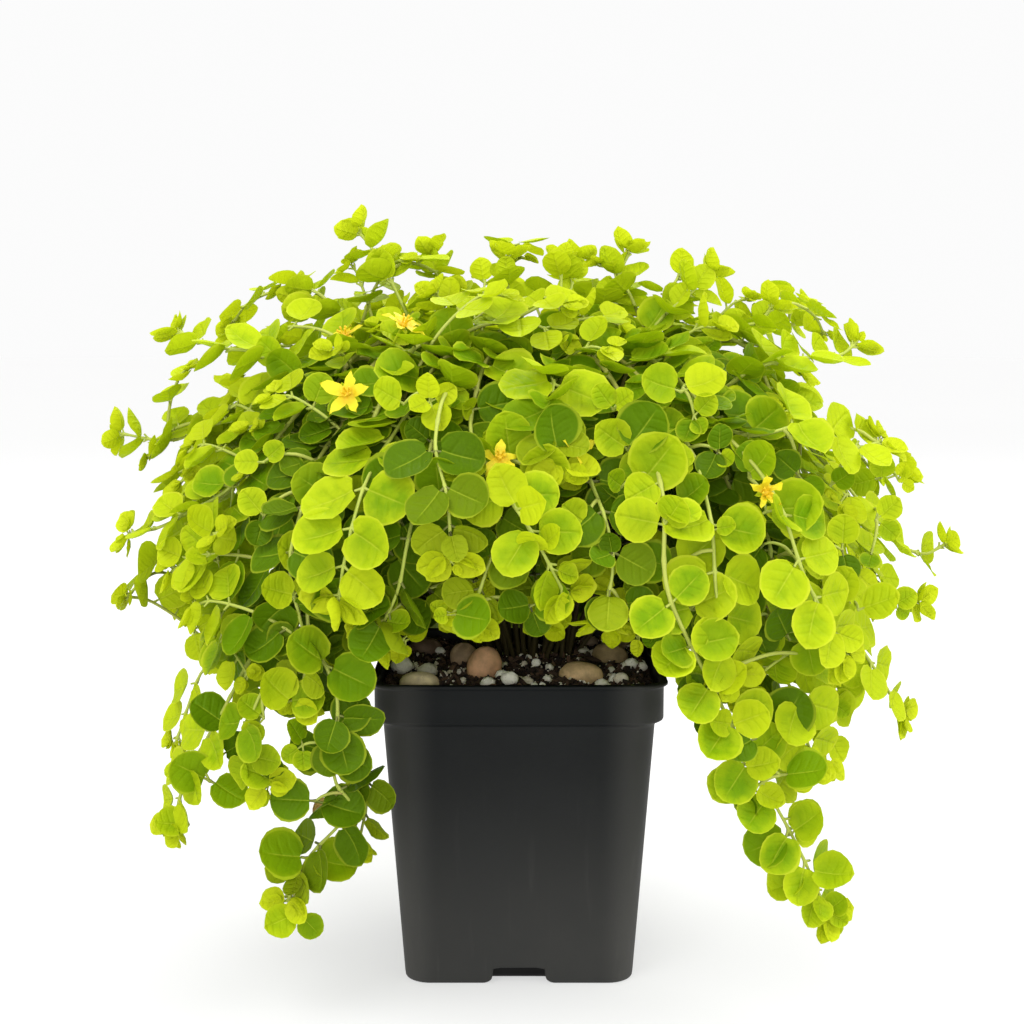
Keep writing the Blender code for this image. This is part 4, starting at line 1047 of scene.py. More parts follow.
def withered_look():
    """A withered leaf: straw yellow going brown at its edges, dry and creased."""
    sheet = Sheet("withered_leaf_dry")
    along_leaf, across = sheet.surface()[:2]
    cloud = sheet.cloud(sheet.object_place(), 420.0, 4.0, 0.65)
    length, side = along_leaf * 2 - 1, across * 2 - 1
    edge = (length * length + side * side).between(0.3, 1.0)
    colour = sheet.mix(cloud.between(0.35, 0.65), (0.55, 0.42, 0.09), (0.36, 0.20, 0.06))
    colour = sheet.mix(edge * 0.6, colour, (0.26, 0.12, 0.04))
    return sheet.end(sheet.coat(colour, 0.85, sheet.raised(cloud, 0.0006, 0.8)))


def square_lines(half, radius, shares, arc_steps):
    """Points round a square with rounded corners, anticlockwise from its front side, and the way out at each.

    Each side has points at the given shares of its straight half length, then an arc to the next side.
    """
    half, radius = np.asarray(half, float), np.asarray(radius, float)
    points, ways = [], []
    arc = (np.arange(arc_steps) + 0.5) / arc_steps * (TURN / 4)
    for side in range(4):
        outward = -TURN / 4 + side * TURN / 4
        out = np.array((math.cos(outward), math.sin(outward)))
        on = np.array((-out[1], out[0]))
        straight = (half - radius)[..., None] * shares
        points.append(straight[..., None] * on + half[..., None, None] * out)
        ways.append(np.broadcast_to(out, points[-1].shape))
        turned = np.cos(arc)[:, None] * out + np.sin(arc)[:, None] * on
        middle = (half - radius)[..., None, None] * (out + on)
        points.append(middle + radius[..., None, None] * turned)
        ways.append(np.broadcast_to(turned, points[-1].shape))
    return np.concatenate(points, axis=-2), np.concatenate(ways, axis=-2)


# The drain channel's mouth: how far from its middle the feet are rounded, and by how much
FOOT_FLARE = 12.4
FOOT_ROUND = 3.4


def notch(place):
    """The drain channel's height at a place across it: flat in the middle, steep at its sides, and with
    feet that are rounded to the floor."""
    out = np.abs(place)
    rounded = np.clip((FOOT_FLARE - out) / FOOT_ROUND, 0, 1)
    foot = 0.8 * FOOT_ROUND * (1 - np.sqrt(1 - rounded**2))
    return np.maximum(CHANNEL_HEIGHT * np.clip((CHANNEL_WIDTH / 2 - 0.2 - out) / 0.5, 0, 1) ** 0.6, foot)


def pot_shell():
    """A closed wall carried round a rounded square: up outside, over the lip, down inside, across the floor.

    The profile gives height, half width and corner radius. The wall's foot and the underside are then raised
    by the height of the two crossed drain channels, less and less up to a given height above the floor.
    """
    lip = POT_HEIGHT - LIP_THICKNESS
    base = BASE_HALF + 0.5
    taper = (BODY_TOP_HALF - base) / BODY_TOP
    inner = BODY_TOP_HALF - WALL
    outside = [(0.0, base - 0.7, 8.2), (0.3, base - 0.25, 8.4), (0.8, base, 8.5)]
    outside += [(z, base + z * taper, CORNER_RADIUS) for z in (2.2, 4, 6, 9, 14, 24, 40, 56, 72, 84)]
    outside += [(BODY_TOP - 1.2, BODY_TOP_HALF - 0.1, CORNER_RADIUS)]
    outside += [(BODY_TOP - 0.4, BODY_TOP_HALF + 0.15, CORNER_RADIUS)]
    outside += [(BODY_TOP + 0.4, BODY_TOP_HALF + 0.9, 8.8), (BODY_TOP + 0.8, BAND_HALF - 0.9, 9.0)]
    outside += [(BODY_TOP + 1.3, BAND_HALF - 0.25, 9.0), (BAND_BOTTOM - 0.4, BAND_HALF, 9.0)]
    outside += [(100.0, BAND_HALF, 9.0), (lip - 1.0, BAND_HALF, 9.0), (lip - 0.35, BAND_HALF + 0.15, 9.0)]
    outside += [(lip - 0.1, BAND_HALF + 0.6, 9.2), (lip, LIP_HALF - 0.35, 9.6), (lip + 0.3, LIP_HALF, 9.8)]
    outside += [(POT_HEIGHT - 0.4, LIP_HALF, 9.8), (POT_HEIGHT - 0.1, LIP_HALF - 0.15, 9.7)]
    outside += [(POT_HEIGHT, LIP_HALF - 0.5, 9.5)]
    wall = BAND_HALF - WALL
    inside = [(POT_HEIGHT, wall + 0.5, 7.8), (POT_HEIGHT - 0.15, wall + 0.15, 7.6)]
    inside += [(POT_HEIGHT - 0.6, wall, 7.5), (BODY_TOP + 2.2, wall, 7.3), (BODY_TOP, inner, 7.0)]
    inside += [(50.0, inner - 42.0 * taper, 7.0), (FLOOR_THICKNESS + 6.0, BASE_HALF - WALL, 7.0)]
    rows = np.array(outside + inside)
    near_channel = (0.43, 0.41, 0.39, 0.365, 0.34, 0.32, 0.308, 0.298, 0.288)
    shares = -np.array((1, 0.72, 0.5, *near_channel, 0.2, 0.1))
    shares = np.concatenate([shares, [0], -shares[::-1]])
    points, ways = square_lines(rows[:, 1], rows[:, 2], shares, 12)
    height = np.broadcast_to(rows[:, :1], points.shape[:2]).copy()
    raised = 12.0
    place = np.where(np.abs(ways[..., 0]) > 0.99, points[..., 1], points[..., 0])
    over = np.where(np.abs(ways).max(axis=-1) > 0.99, notch(place), 0.0)
    low = (np.arange(len(rows)) < len(outside))[:, None] & (height < raised)
    height = np.where(low, over + height * (1 - over / raised), height)
    shell = np.dstack([points, height])
    steps = np.linspace(0, 1, 46)[1:]
    rim = shell[0, :, :2]
    turned = np.arctan2(rim[:, 1], rim[:, 0])
    hole = DRAIN_RADIUS * np.stack([np.cos(turned), np.sin(turned)], axis=1)
    under = rim[None] * (1 - steps[:, None, None]) + hole[None] * steps[:, None, None]
    channel = np.maximum(notch(under[..., 0]), notch(under[..., 1]))
    set_in = np.clip((base - 2.4 - np.abs(under).max(axis=-1)) / 3.0, 0, 1)
    underside = np.dstack([under, channel + (np.minimum(channel, 0.4) - channel) * set_in])
    last = shell[-1, :, :2]
    across = np.linspace(0, 1, 12)[1:]
    floor = last[None] * (1 - across[:, None, None]) + hole[None] * across[:, None, None]
    ground = np.full(floor.shape[:2], FLOOR_THICKNESS + CHANNEL_HEIGHT)
    top = np.dstack([floor, ground])
    rows_in_order = np.concatenate([underside[::-1], shell, top])
    faces = grid_faces(*rows_in_order.shape[:2], loop_rows=True, loop_columns=True)
    return rows_in_order.reshape(-1, 3), faces


def soil_height(x, y):
    """The soil's surface: low lumps and fine crumbs, a little higher at the middle and lower at the wall."""
    spots = np.stack([x, y], axis=-1)
    far = np.maximum(np.abs(x), np.abs(y)) / (BAND_HALF - WALL)
    lumps = 0.9 * ripples(spots, 15.0, 3) + 0.55 * ripples(spots, 5.0, 4) + 0.3 * ripples(spots, 2.0, 5)
    return SOIL_TOP + 0.3 + lumps * 0.8 - 0.6 * far**6


def soil_body():
    """A closed body: the lumpy surface over the pot's mouth, a wall set in from the pot, and a flat foot."""
    inside = BAND_HALF - WALL - GAP
    base = BASE_HALF - WALL - GAP
    shares = np.linspace(-1, 1, 41)
    rows = [(None, inside * share, 7.2 * share) for share in np.linspace(0.012, 1, 80)]
    rows += [(98.0, inside, 7.2), (BODY_TOP + 2.2, inside, 7.2), (BODY_TOP, BODY_TOP_HALF - WALL - GAP, 7.0)]
    rows += [(50.0, (BODY_TOP_HALF + BASE_HALF) / 2 - WALL - GAP, 7.0), (9.2, base, 7.0)]
    rows += [(9.2, base * 0.5, 3.5), (9.2, base * 0.01, 0.07)]
    half = np.array([row[1] for row in rows])
    points = square_lines(half, np.array([row[2] for row in rows]), shares, 8)[0]
    given = np.array([0.0 if row[0] is None else row[0] for row in rows])[:, None]
    height = np.where(given > 0, given, soil_height(points[..., 0], points[..., 1]))
    spots = np.dstack([points, height])
    columns = spots.shape[1]
    faces = grid_faces(len(rows), columns, loop_columns=True)
    count = len(rows) * columns
    centres = np.stack([spots[0].mean(axis=0), spots[-1].mean(axis=0)])
    caps = [fan(count, 0, columns), fan(count + 1, count - columns, columns, True)]
    faces = np.concatenate([faces[:, ::-1], *caps])
    return np.concatenate([spots.reshape(-1, 3), centres]), faces


def lump_ball(rows, columns):
    """A coarse ball as a grid of latitude and longitude with a point at each pole."""
    polar = (np.arange(rows) + 0.5) / rows * math.pi
    round_it = np.arange(columns) / columns * TURN
    out, up = np.sin(polar)[:, None], np.repeat(np.cos(polar)[:, None], columns, 1)
    ring = np.stack([out * np.cos(round_it), out * np.sin(round_it), up], axis=-1)
    points = np.concatenate([ring.reshape(-1, 3), [(0, 0, 1), (0, 0, -1)]])
    count = rows * columns
    caps = [fan(count, 0, columns), fan(count + 1, count - columns, columns, True)]
    faces = np.concatenate([grid_faces(rows, columns, loop_columns=True)[:, ::-1], *caps])
    return points, outward(points, faces)


def outward(points, faces):
    """The same triangles, turned so that a closed shape faces out."""
    corner = points[faces]
    volume = np.einsum("ij,ij->i", corner[:, 0], np.cross(corner[:, 1], corner[:, 2])).sum()
    return faces if volume > 0 else faces[:, ::-1]


def random_turns(count, dice):
    """Rotations spread evenly over all directions, made from random quaternions."""
    w, x, y, z = unit(dice.normal(size=(count, 4))).T
    rows = [
        [1 - 2 * (y * y + z * z), 2 * (x * y - z * w), 2 * (x * z + y * w)],
        [2 * (x * y + z * w), 1 - 2 * (x * x + z * z), 2 * (y * z - x * w)],
        [2 * (x * z - y * w), 2 * (y * z + x * w), 1 - 2 * (x * x + y * y)],
    ]
    return np.array(rows).transpose(2, 0, 1)


def dealt(dice, count, *ranges):
    """A column of random numbers for each range, and of zeros where there is none."""
    columns = [np.zeros(count) if ends is None else dice.uniform(*ends, count) for ends in ranges]
    return np.column_stack(columns)


def add_lumps(parts, spots, sizes, rough, tones, dice, rows, columns, turned=True):
    """Many small stones or crumbs at once: one ball, stretched, dented at random, turned and moved."""
    ball, faces = lump_ball(rows, columns)
    count = len(spots)
    dents = 1 + rough * dice.uniform(-1, 1, (count, len(ball), 1))
    shapes = ball[None] * dents * sizes[:, None, :]
    if turned:
        shapes = np.einsum("nij,nkj->nki", random_turns(count, dice), shapes)
    points = shapes + spots[:, None, :]
    tones = np.repeat(tones[:, None, :], len(ball), axis=1).reshape(-1, 3)
    parts.add(points, copies(faces, len(ball), count), tones=tones)


def soil_places(count, dice, margin=1.2):
    """Random places over the pot's mouth, at the height of the soil."""
    inside = BAND_HALF - WALL - GAP - margin
    flat = dice.uniform(-inside, inside, (count, 2))
    corner = np.maximum(np.abs(flat) - (inside - 6.5), 0)
    flat = flat[np.hypot(corner[:, 0], corner[:, 1]) < 6.5]
    return np.column_stack([flat, soil_height(flat[:, 0], flat[:, 1])])


def clear_of_pebbles(spots, gap=0.5):
    """The places that no pebble covers."""
    keep = np.ones(len(spots), bool)
    for row in PEBBLES + (BACK_STONE,):
        x, y, length, depth, turn = row[1], row[2], row[4], row[5], math.radians(row[7])
        along_x = (spots[:, 0] - x) * math.cos(turn) + (spots[:, 1] - y) * math.sin(turn)
        along_y = (spots[:, 1] - y) * math.cos(turn) - (spots[:, 0] - x) * math.sin(turn)
        keep &= (along_x / (length + gap)) ** 2 + (along_y / (depth + gap)) ** 2 > 1
    return spots[keep]


def pebble_body(row, seed):
    """A worn pebble: a ball with flattened sides, stretched and softly dented, lying in the soil."""
    x, y, z, length, depth, height, turn, lean = row[1:]
    ball, faces = lump_ball(26, 36)
    squared = np.sign(ball) * np.abs(ball) ** 0.9
    shape = squared / np.linalg.norm(squared, axis=1, keepdims=True) ** 0.6
    dents = 1 + 0.045 * ripples(ball, 2.2, seed + 40) + 0.012 * ripples(ball, 0.6, seed + 60)
    shape = shape * dents[:, None] * np.array((length * 1.04, depth, height * (1.5 if seed == 1 else 1.25)))
    return shape @ np.array(pebble_turn(turn, lean)).T + np.array((x, y, z + 0.3 * height)), faces


class Blades:
    """The leaves of one stem and its shoots: foot, way, upper side, radius, youth and depth in the shade."""

    def __init__(self):
        self.rows = []

    def add(self, leaf, youth, depth=0.0):
        self.rows.append((*leaf.foot, *leaf.way, *leaf.upper, leaf.radius, youth, depth))

    def columns(self):
        """Foot, way, upper side, radius, youth and depth in the shade of all the leaves, as arrays."""
        rows = np.array(self.rows)
        return rows[:, :3], unit(rows[:, 3:6]), unit(rows[:, 6:9]), *rows[:, 9:].T


# The shown leaf: points round its rim, length of its stalk, and how far out its rings of points lie
LEAF_COLUMNS = 16
SHOWN_STALK = 1.4
LEAF_RINGS = np.array((0.54, 0.88, 1.0))
STEM_SIDES = 7


def leaf_shapes(blades, dice):
    """All the leaves of one stem: round blades as rings about their middle.

    A ring at share r and angle a lies at r (cos a, sin a) times an outline that is cut in at the stalk and
    drawn to a small point at the tip. Its height is a cup (r squared), a fold along the midrib (the distance
    from it), and a wave round the rim. Young leaves are narrower, more pointed and more cupped.
    """
    foot, way, upper, radius, youth, depth = blades.columns()
    count = len(foot)

    def draw(low, high):
        return dice.uniform(low, high, (count, 1, 1))

    def wavy(fewest, most):
        """A sine round the rim with a random number of waves, and a random start."""
        return np.sin(angle * dice.integers(fewest, most, (count, 1, 1)) + draw(0, TURN))

    across = np.cross(way, upper)
    angle = np.arange(LEAF_COLUMNS) / LEAF_COLUMNS * TURN
    share = LEAF_RINGS[:, None]
    young = youth[:, None, None]
    back = np.abs(np.angle(np.exp(1j * (angle - math.pi))))
    front = np.abs(np.angle(np.exp(1j * angle)))
    notch_depth = (0.16 - 0.1 * young) * draw(0.5, 1.4)
    outline = 1 - notch_depth * np.exp(-((back / 0.3) ** 2)) * share**2
    outline = outline + (0.015 + 0.13 * young) * np.exp(-((front / 0.32) ** 2)) * share**3
    outline = outline + 0.022 * wavy(3, 6) * share
    wide = 1.06 - 0.13 * young + draw(-0.06, 0.06)
    x = share * np.cos(angle) * outline
    y = share * np.sin(angle) * outline * wide
    cup = draw(-0.02, 0.28) + 0.16 * young
    fold = draw(0.0, 0.28) + 0.1 * young
    bend = draw(-0.26, 0.1)
    wave = draw(0.01, 0.075) * wavy(2, 6)
    lift = cup * (x * x + y * y) + fold * (np.sqrt(y * y + 0.012) - 0.11)
    lift = lift + bend * x * np.abs(x) + wave * share**2
    middle = np.zeros((count, 1))
    x, y, lift = (np.hstack([middle, part.reshape(count, -1)]) for part in (x, y, lift))
    size = radius[:, None]
    out = SHOWN_STALK + size * (1 + x)
    points = foot[:, None] + way[:, None] * out[..., None] + across[:, None] * (size * y)[..., None]
    points = points + upper[:, None] * (size * lift)[..., None]
    faces = grid_faces(len(LEAF_RINGS), LEAF_COLUMNS, loop_columns=True) + 1
    faces = np.concatenate([fan(0, 1, LEAF_COLUMNS), faces[:, ::-1]])[:, ::-1]
    flat = np.stack([0.5 + 0.5 * x, 0.5 + 0.5 * y], axis=-1)
    own = 0.75 * dice.uniform(0, 1, count) ** 1.3 + 0.25 * dice.uniform(0, 1)
    tones = np.repeat(np.stack([own, youth, depth], 1)[:, None], points.shape[1], axis=1)
    at_stalk = radius * lift[:, 1 + LEAF_COLUMNS // 2] * 0.8
    seat = foot + way * (SHOWN_STALK + 0.16 * radius)[:, None] + upper * at_stalk[:, None]
    # The young look; the shaded look, darker and with less light through it, for leaves deep in painted
    # shade; or else the lime look
    looks = np.where(youth > 0.5, 1, np.where(depth > 0.45, 2, 0))
    return points, faces, flat, tones, seat, looks


def frames_along(path):
    """Two directions square to a path at each of its points, one of them in the path's own plane."""
    ways = unit(np.gradient(path, axis=0))
    plane = np.linalg.svd(path - path.mean(axis=0))[2][2]
    side = unit(np.cross(ways, plane + 1e-4))
    return side, np.cross(ways, side)


def circles(side, above, sides):
    """A ring of directions for each pair of square directions."""
    angle = np.arange(sides) / sides * TURN
    return np.cos(angle)[None, :, None] * side[:, None] + np.sin(angle)[None, :, None] * above[:, None]


def tube(path, widths, sides=STEM_SIDES):
    """A closed round tube: a circle of the given widths carried along the path, with a point at each end."""
    ring = circles(*frames_along(path), sides)
    points = (path[:, None] + ring * widths[:, None, None]).reshape(-1, 3)
    count = len(points)
    caps = [fan(count, 0, sides, True), fan(count + 1, count - sides, sides)]
    faces = np.concatenate([grid_faces(len(path), sides, loop_columns=True), *caps])
    points = np.concatenate([points, path[:1], path[-1:]])
    return points, outward(points, faces)


def stalks(foot, seat, width, sides=4):
    """The short stalks of many leaves at once: square tubes from the stem, which thin out to the blade."""
    ways = unit(seat - foot)
    side = unit(np.cross(ways, np.array((0.31, 0.52, 0.79))))
    ring = circles(side, np.cross(ways, side), sides)
    share = np.array((0.0, 0.4, 1.0))
    thick = np.array((1.25, 0.8, 0.7))
    middle = foot[:, None] + (seat - foot)[:, None] * share[None, :, None]
    points = middle[:, :, None] + ring[:, None] * (width[:, None] * thick)[..., None, None]
    each = len(share) * sides
    faces = grid_faces(len(share), sides, loop_columns=True)[:, ::-1]
    return points.reshape(-1, 3), copies(faces, each, len(foot)), each


class Room:
    """Every blade so far as a flat disc, to find a place for the next that crosses few of them."""

    def __init__(self, most=6000):
        self.middle, self.upper, self.radius = np.zeros((most, 3)), np.zeros((most, 3)), np.zeros(most)
        self.count = 0
        angle = np.arange(8) / 8 * TURN
        self.round = np.stack([np.cos(angle), np.sin(angle)], 1)
        self.kept = np.zeros((0, 4))

    def keep(self, leaf):
        """Add a leaf that later ones may not hide."""
        self.add(leaf)
        across, down, scale = seen_at(leaf.middle())
        self.kept = np.vstack([self.kept, (across, down, leaf.radius * scale, leaf.middle().y)])

    def hides(self, leaf):
        """Whether this one would hide a kept leaf in the picture."""
        across, down, scale = seen_at(leaf.middle())
        apart = np.hypot(self.kept[:, 0] - across, self.kept[:, 1] - down)
        near = apart < self.kept[:, 2] * 0.85 + leaf.radius * scale * 0.7
        return bool((near & (leaf.middle().y < self.kept[:, 3] + 3)).any())

    def add(self, leaf):
        self.middle[self.count] = leaf.middle()
        self.upper[self.count] = leaf.upper
        self.radius[self.count] = leaf.radius
        self.count += 1

    def least_crossed(self, leaves, most=math.inf):
        """Of leaves made one after another, the first that goes through no disc, or else the one that goes
        through the fewest, or nothing where each goes through more than the most."""
        best, fewest = None, most + 1
        for leaf in leaves:
            crossed = self.crossed(leaf)
            if crossed < fewest:
                best, fewest = leaf, crossed
            if not crossed:
                break
        return best

    def crossed(self, leaf):
        """How many discs this one goes through: those whose plane its rim passes within their own rim."""
        middle = np.array(leaf.middle())
        apart = np.linalg.norm(self.middle[: self.count] - middle, axis=1)
        near = np.flatnonzero(apart < self.radius[: self.count] + leaf.radius)
        if not len(near):
            return 0
        turned = self.round[:, :1] * np.array(leaf.way) + self.round[:, 1:] * np.array(leaf.across)
        rim = middle + leaf.radius * turned
        reach = np.concatenate([rim, middle[None]])[None] - self.middle[near][:, None]
        height = np.einsum("kij,kj->ki", reach, self.upper[near])
        flat = np.sqrt(np.maximum((reach**2).sum(axis=2) - height**2, 0))
        through = (height.min(axis=1) < -0.15) & (height.max(axis=1) > 0.15)
        inside = (flat < self.radius[near][:, None] * 0.95) & (np.abs(height) < leaf.radius * 0.5)
        return int((through & inside.any(axis=1)).sum())


# The mound's outer surface: its half widths and height, how square it is, and the height of its middle
SHELL_HALF = (134.0, 113.0, 127.0)
SHELL_POWER = 2.3
SHELL_BASE = 118.0
# The one withered leaf: its stem, and where it shows in the picture
WITHERED_ON = "trail_left_long"
WITHERED_SPOT = (315, 817)


def shell_level(points):
    """How far out in the mound a place is: 0 at its middle and 1 at its outer surface, a squarish dome."""
    points = np.asarray(points, float)
    share = np.abs(points - np.array((0, 0, SHELL_BASE))) / np.array(SHELL_HALF)
    share[..., 2] = np.where(points[..., 2] > SHELL_BASE, share[..., 2], 0)
    return (share**SHELL_POWER).sum(axis=-1) ** (1 / SHELL_POWER)


def skirt_height(x, y):
    """The lowest that the fill goes: high over the front, so that the soil shows, and low at the sides."""
    front = np.clip(-y / 60, 0, 1)
    return 100.0 + 34.0 * front * np.exp(-((np.abs(x - 2) / 60) ** 4)) - 6.0 * np.clip(y / 60, 0, 1)


# The dense part of the plant in the picture: rows, and its left and right edge at each, in pixels
EDGE_ROWS = (230, 262, 300, 330, 380, 424, 480, 548, 600, 640, 680, 720, 760, 800)
EDGE_LEFT = (340, 330, 262, 200, 190, 162, 152, 150, 160, 182, 200, 190, 165, 165)
EDGE_RIGHT = (650, 730, 812, 832, 822, 834, 872, 900, 896, 885, 868, 856, 832, 830)
# Where the picture shows the soil and the pot: left, right and top in pixels
SOIL_WINDOW = (364, 668, 645)
# Side shoots that the picture shows beyond it or in its thin places: pixels across and down, and how far back
TWIGS = (
    (352, 266, -6), (404, 260, -8), (446, 284, 6), (520, 258, 6), (562, 262, 26), (600, 266, -4),
    (690, 270, -8), (745, 300, 4), (792, 302, 30), (824, 334, 20), (284, 290, 10), (234, 322, 14),
    (190, 368, -10), (150, 456, -8),
)


# The leaves that show best in the picture: the foot that a pair shares, then the middle and half width of
# each leaf, all in pixels, and its tone from 0, dark with painted shade, to 3, bright yellow as a young leaf
SHOWN = (
    (480, 472, (478, 448, 21, 1.5)), (552, 452, (552, 424, 24, 1)), (510, 460, (507, 433, 23, 2)),
    (543, 488, (546, 465, 23, 2)), (440, 498, (437, 473, 22, 1.5), (444, 496, 15, 3)),
    (461, 502, (480, 498, 19, 2)), (512, 513, (507, 490, 21, 3), (526, 507, 21, 3)),
    (545, 546, (534, 537, 17, 3), (556, 534, 14, 3)), (464, 540, (451, 530, 13, 1.5), (480, 543, 15, 0)),
    (414, 472, (395, 463, 17, 2), (397, 478, 24, 1)),
    (400, 520, (391, 502, 22, 0), (414, 543, 21, 0.5), (387, 537, 20, 0)),
    (436, 446, (421, 434, 14, 0), (453, 437, 20, 1)),
    (430, 402, (429, 389, 13, 3), (444, 394, 12, 3), (418, 407, 11, 3), (437, 417, 16, 3), (406, 401, 8, 3)),
    (480, 408, (466, 407, 11, 2), (512, 402, 21, 1)), (404, 404, (390, 396, 17, 2)),
    (638, 487, (655, 466, 28, 2)), (628, 450, (643, 429, 25, 1), (596, 426, 19, 2)),
    (613, 410, (604, 397, 13, 2), (622, 402, 12, 2)), (681, 392, (663, 386, 20, 2), (698, 386, 20, 3)),
    (694, 416, (708, 402, 12, 2), (685, 441, 12, 1.5), (702, 430, 9, 2)),
    (718, 452, (709, 469, 15, 0), (721, 424, 13, 1), (729, 461, 10, 2)),
    (621, 488, (609, 476, 12, 2), (605, 502, 17, 0.5)), (657, 528, (636, 519, 22, 2), (675, 510, 18, 2)),
    (680, 505, (695, 491, 17, 1.5)), (583, 524, (570, 512, 15, 2), (575, 537, 14, 3)),
    (677, 568, (697, 552, 24, 2), (656, 563, 20, 1.5)), (720, 530, (732, 526, 10, 2)),
    (620, 556, (604, 557, 14, 1), (608, 530, 11, 0)), (340, 504, (321, 491, 24, 1.5), (359, 493, 18, 2)),
    (390, 552, (370, 539, 24, 0.5), (406, 570, 24, 0.5)), (311, 560, (289, 550, 21, 2), (327, 549, 18, 2)),
    (291, 594, (274, 590, 18, 2), (302, 588, 10, 2)), (353, 620, (341, 595, 28, 1), (373, 610, 22, 1)),
    (264, 516, (258, 539, 13, 0.5), (248, 497, 14, 2)), (264, 462, (250, 462, 12, 2), (279, 448, 11, 2)),
    (326, 664, (307, 650, 23, 1.5), (342, 673, 24, 1.5)), (288, 701, (274, 686, 21, 2), (302, 700, 18, 2)),
    (391, 626, (374, 638, 22, 1), (406, 624, 13, 2)), (264, 718, (250, 707, 13, 2), (256, 728, 12, 2.5)),
    (345, 728, (355, 706, 20, 0.5), (344, 756, 21, 0.5)),
    (303, 745, (294, 727, 13, 1.5), (292, 753, 10, 2), (304, 766, 10, 2)),
    (279, 781, (263, 775, 17, 2), (262, 746, 11, 0.5)),
    (452, 614, (469, 617, 21, 1.5), (439, 609, 9, 2), (430, 618, 8, 2)),
    (530, 606, (511, 608, 18, 0.5), (558, 597, 21, 1.5), (535, 619, 13, 0)),
    (620, 606, (605, 614, 19, 0), (635, 603, 15, 1)), (659, 628, (652, 640, 10, 1)),
    (691, 608, (671, 612, 22, 2), (715, 596, 23, 2)), (699, 645, (723, 639, 21, 2), (678, 650, 19, 1.5)),
    (718, 692, (735, 677, 18, 3), (703, 684, 15, 2), (684, 690, 17, 0)),
    (731, 722, (753, 717, 19, 2.5), (717, 722, 14, 2.5)), (774, 736, (789, 712, 24, 0.7)),
    (830, 604, (808, 605, 23, 2.3), (843, 583, 18, 2.3)),
    (798, 564, (789, 573, 16, 2.3), (812, 554, 18, 2)), (764, 544, (754, 558, 15, 0.7)),
    (790, 640, (780, 619, 20, 0.7), (762, 590, 16, 0)), (752, 622, (747, 605, 20, 0), (760, 638, 18, 0)),
    (806, 634, (810, 654, 18, 1.7)), (749, 478, (762, 461, 20, 1.7), (752, 432, 16, 1.5)),
    (766, 512, (794, 508, 26, 2), (749, 520, 19, 2.3)),
    (798, 475, (787, 465, 15, 0.7), (821, 501, 14, 1.5)),
    (842, 550, (843, 535, 15, 2), (845, 562, 14, 0.7)), (881, 478, (864, 482, 14, 2), (883, 458, 12, 2)),
    (898, 480, (908, 476, 9, 3), (904, 468, 7, 3), (907, 486, 7, 3)), (830, 486, (841, 479, 12, 1.5)),
    (815, 434, (801, 428, 14, 2)), (826, 437, (842, 440, 11, 2)),
    (876, 520, (888, 509, 13, 2.5), (889, 531, 11, 2)), (858, 610, (875, 604, 19, 2.5)),
    (892, 606, (901, 601, 11, 2), (903, 612, 8, 2)), (872, 550, (869, 563, 10, 1.5)),
    (756, 738, (741, 746, 17, 1)), (717, 740, (707, 730, 13, 0.7)),
    (743, 769, (728, 784, 18, 2), (765, 764, 17, 2.5)), (780, 775, (799, 773, 22, 1.5)),
    (752, 790, (766, 796, 14, 3), (749, 804, 12, 1)), (788, 833, (808, 821, 20, 2), (770, 843, 22, 1.5)),
    (806, 878, (830, 874, 20, 2), (791, 882, 20, 2)),
    (828, 913, (843, 899, 12, 2), (832, 930, 11, 2), (843, 921, 9, 2.5)),
    (832, 698, (822, 709, 12, 2), (845, 712, 10, 2)), (228, 727, (211, 714, 20, 1)),
    (210, 781, (190, 771, 21, 1.7), (222, 788, 18, 1.5)), (189, 825, (173, 824, 15, 2)),
    (222, 755, (235, 747, 15, 0.7)), (316, 801, (296, 800, 20, 1), (336, 807, 22, 0.7)),
    (312, 860, (288, 856, 24, 1.5), (331, 863, 22, 1.5)),
    (298, 913, (280, 921, 17, 2), (308, 923, 13, 1.5)),
)


# Below this row of the picture the stems hang free, so what grows there lies as far back as what carries it
HANGING_ROW = 690


def shaken(most, chance):
    """A random amount for each of the three axes, up to the most either way."""
    return [chance.uniform(-most, most) for axis in range(3)]


def ramp(value, start, length):
    """0 up to the start, then in a straight line up to 1 at a length past it."""
    return max(0.0, min(1.0, (value - start) / length))


def stem_samples(vines):
    """The points along all the stems, and the number of the stem that each is on."""
    samples = np.concatenate([np.array(vine.path[0]) for vine in vines])
    return samples, np.repeat(np.arange(len(vines)), [len(vine.path[0]) for vine in vines])


def front_at(across, down):
    """How far back the mound's surface lies where a pixel sees it, or where the ray comes nearest to it."""
    backs = np.arange(-122.0, 70.0, 1.5)
    places = np.array([spot_at(across, down, back) for back in backs])
    level = shell_level(places) / np.interp(places[:, 2], (90, 118), (0.84, 1.0))
    inside = np.flatnonzero(level < 1.0)
    return float(backs[inside[0]] if len(inside) else backs[np.argmin(level)])


def shown_leaf(foot, row, room, chance):
    """A leaf from its foot to where the picture shows its middle, facing the camera, in the best tilt."""
    across, down, wide = row[:3]

    def tries():
        for attempt in range(8):
            centre = Vector(spot_at(across, down, foot.y - chance.uniform(-1.0, 5.0)))
            scale = float(seen_at(centre)[2])
            view = (Vector(CAMERA_PLACE) - centre).normalized()
            upper = view + Vector((0.0, 0.0, 0.3)) + Vector(shaken(0.32, chance))
            yield Leaf(foot, centre - foot, upper, wide / scale * 1.04)

    return room.least_crossed(tries())


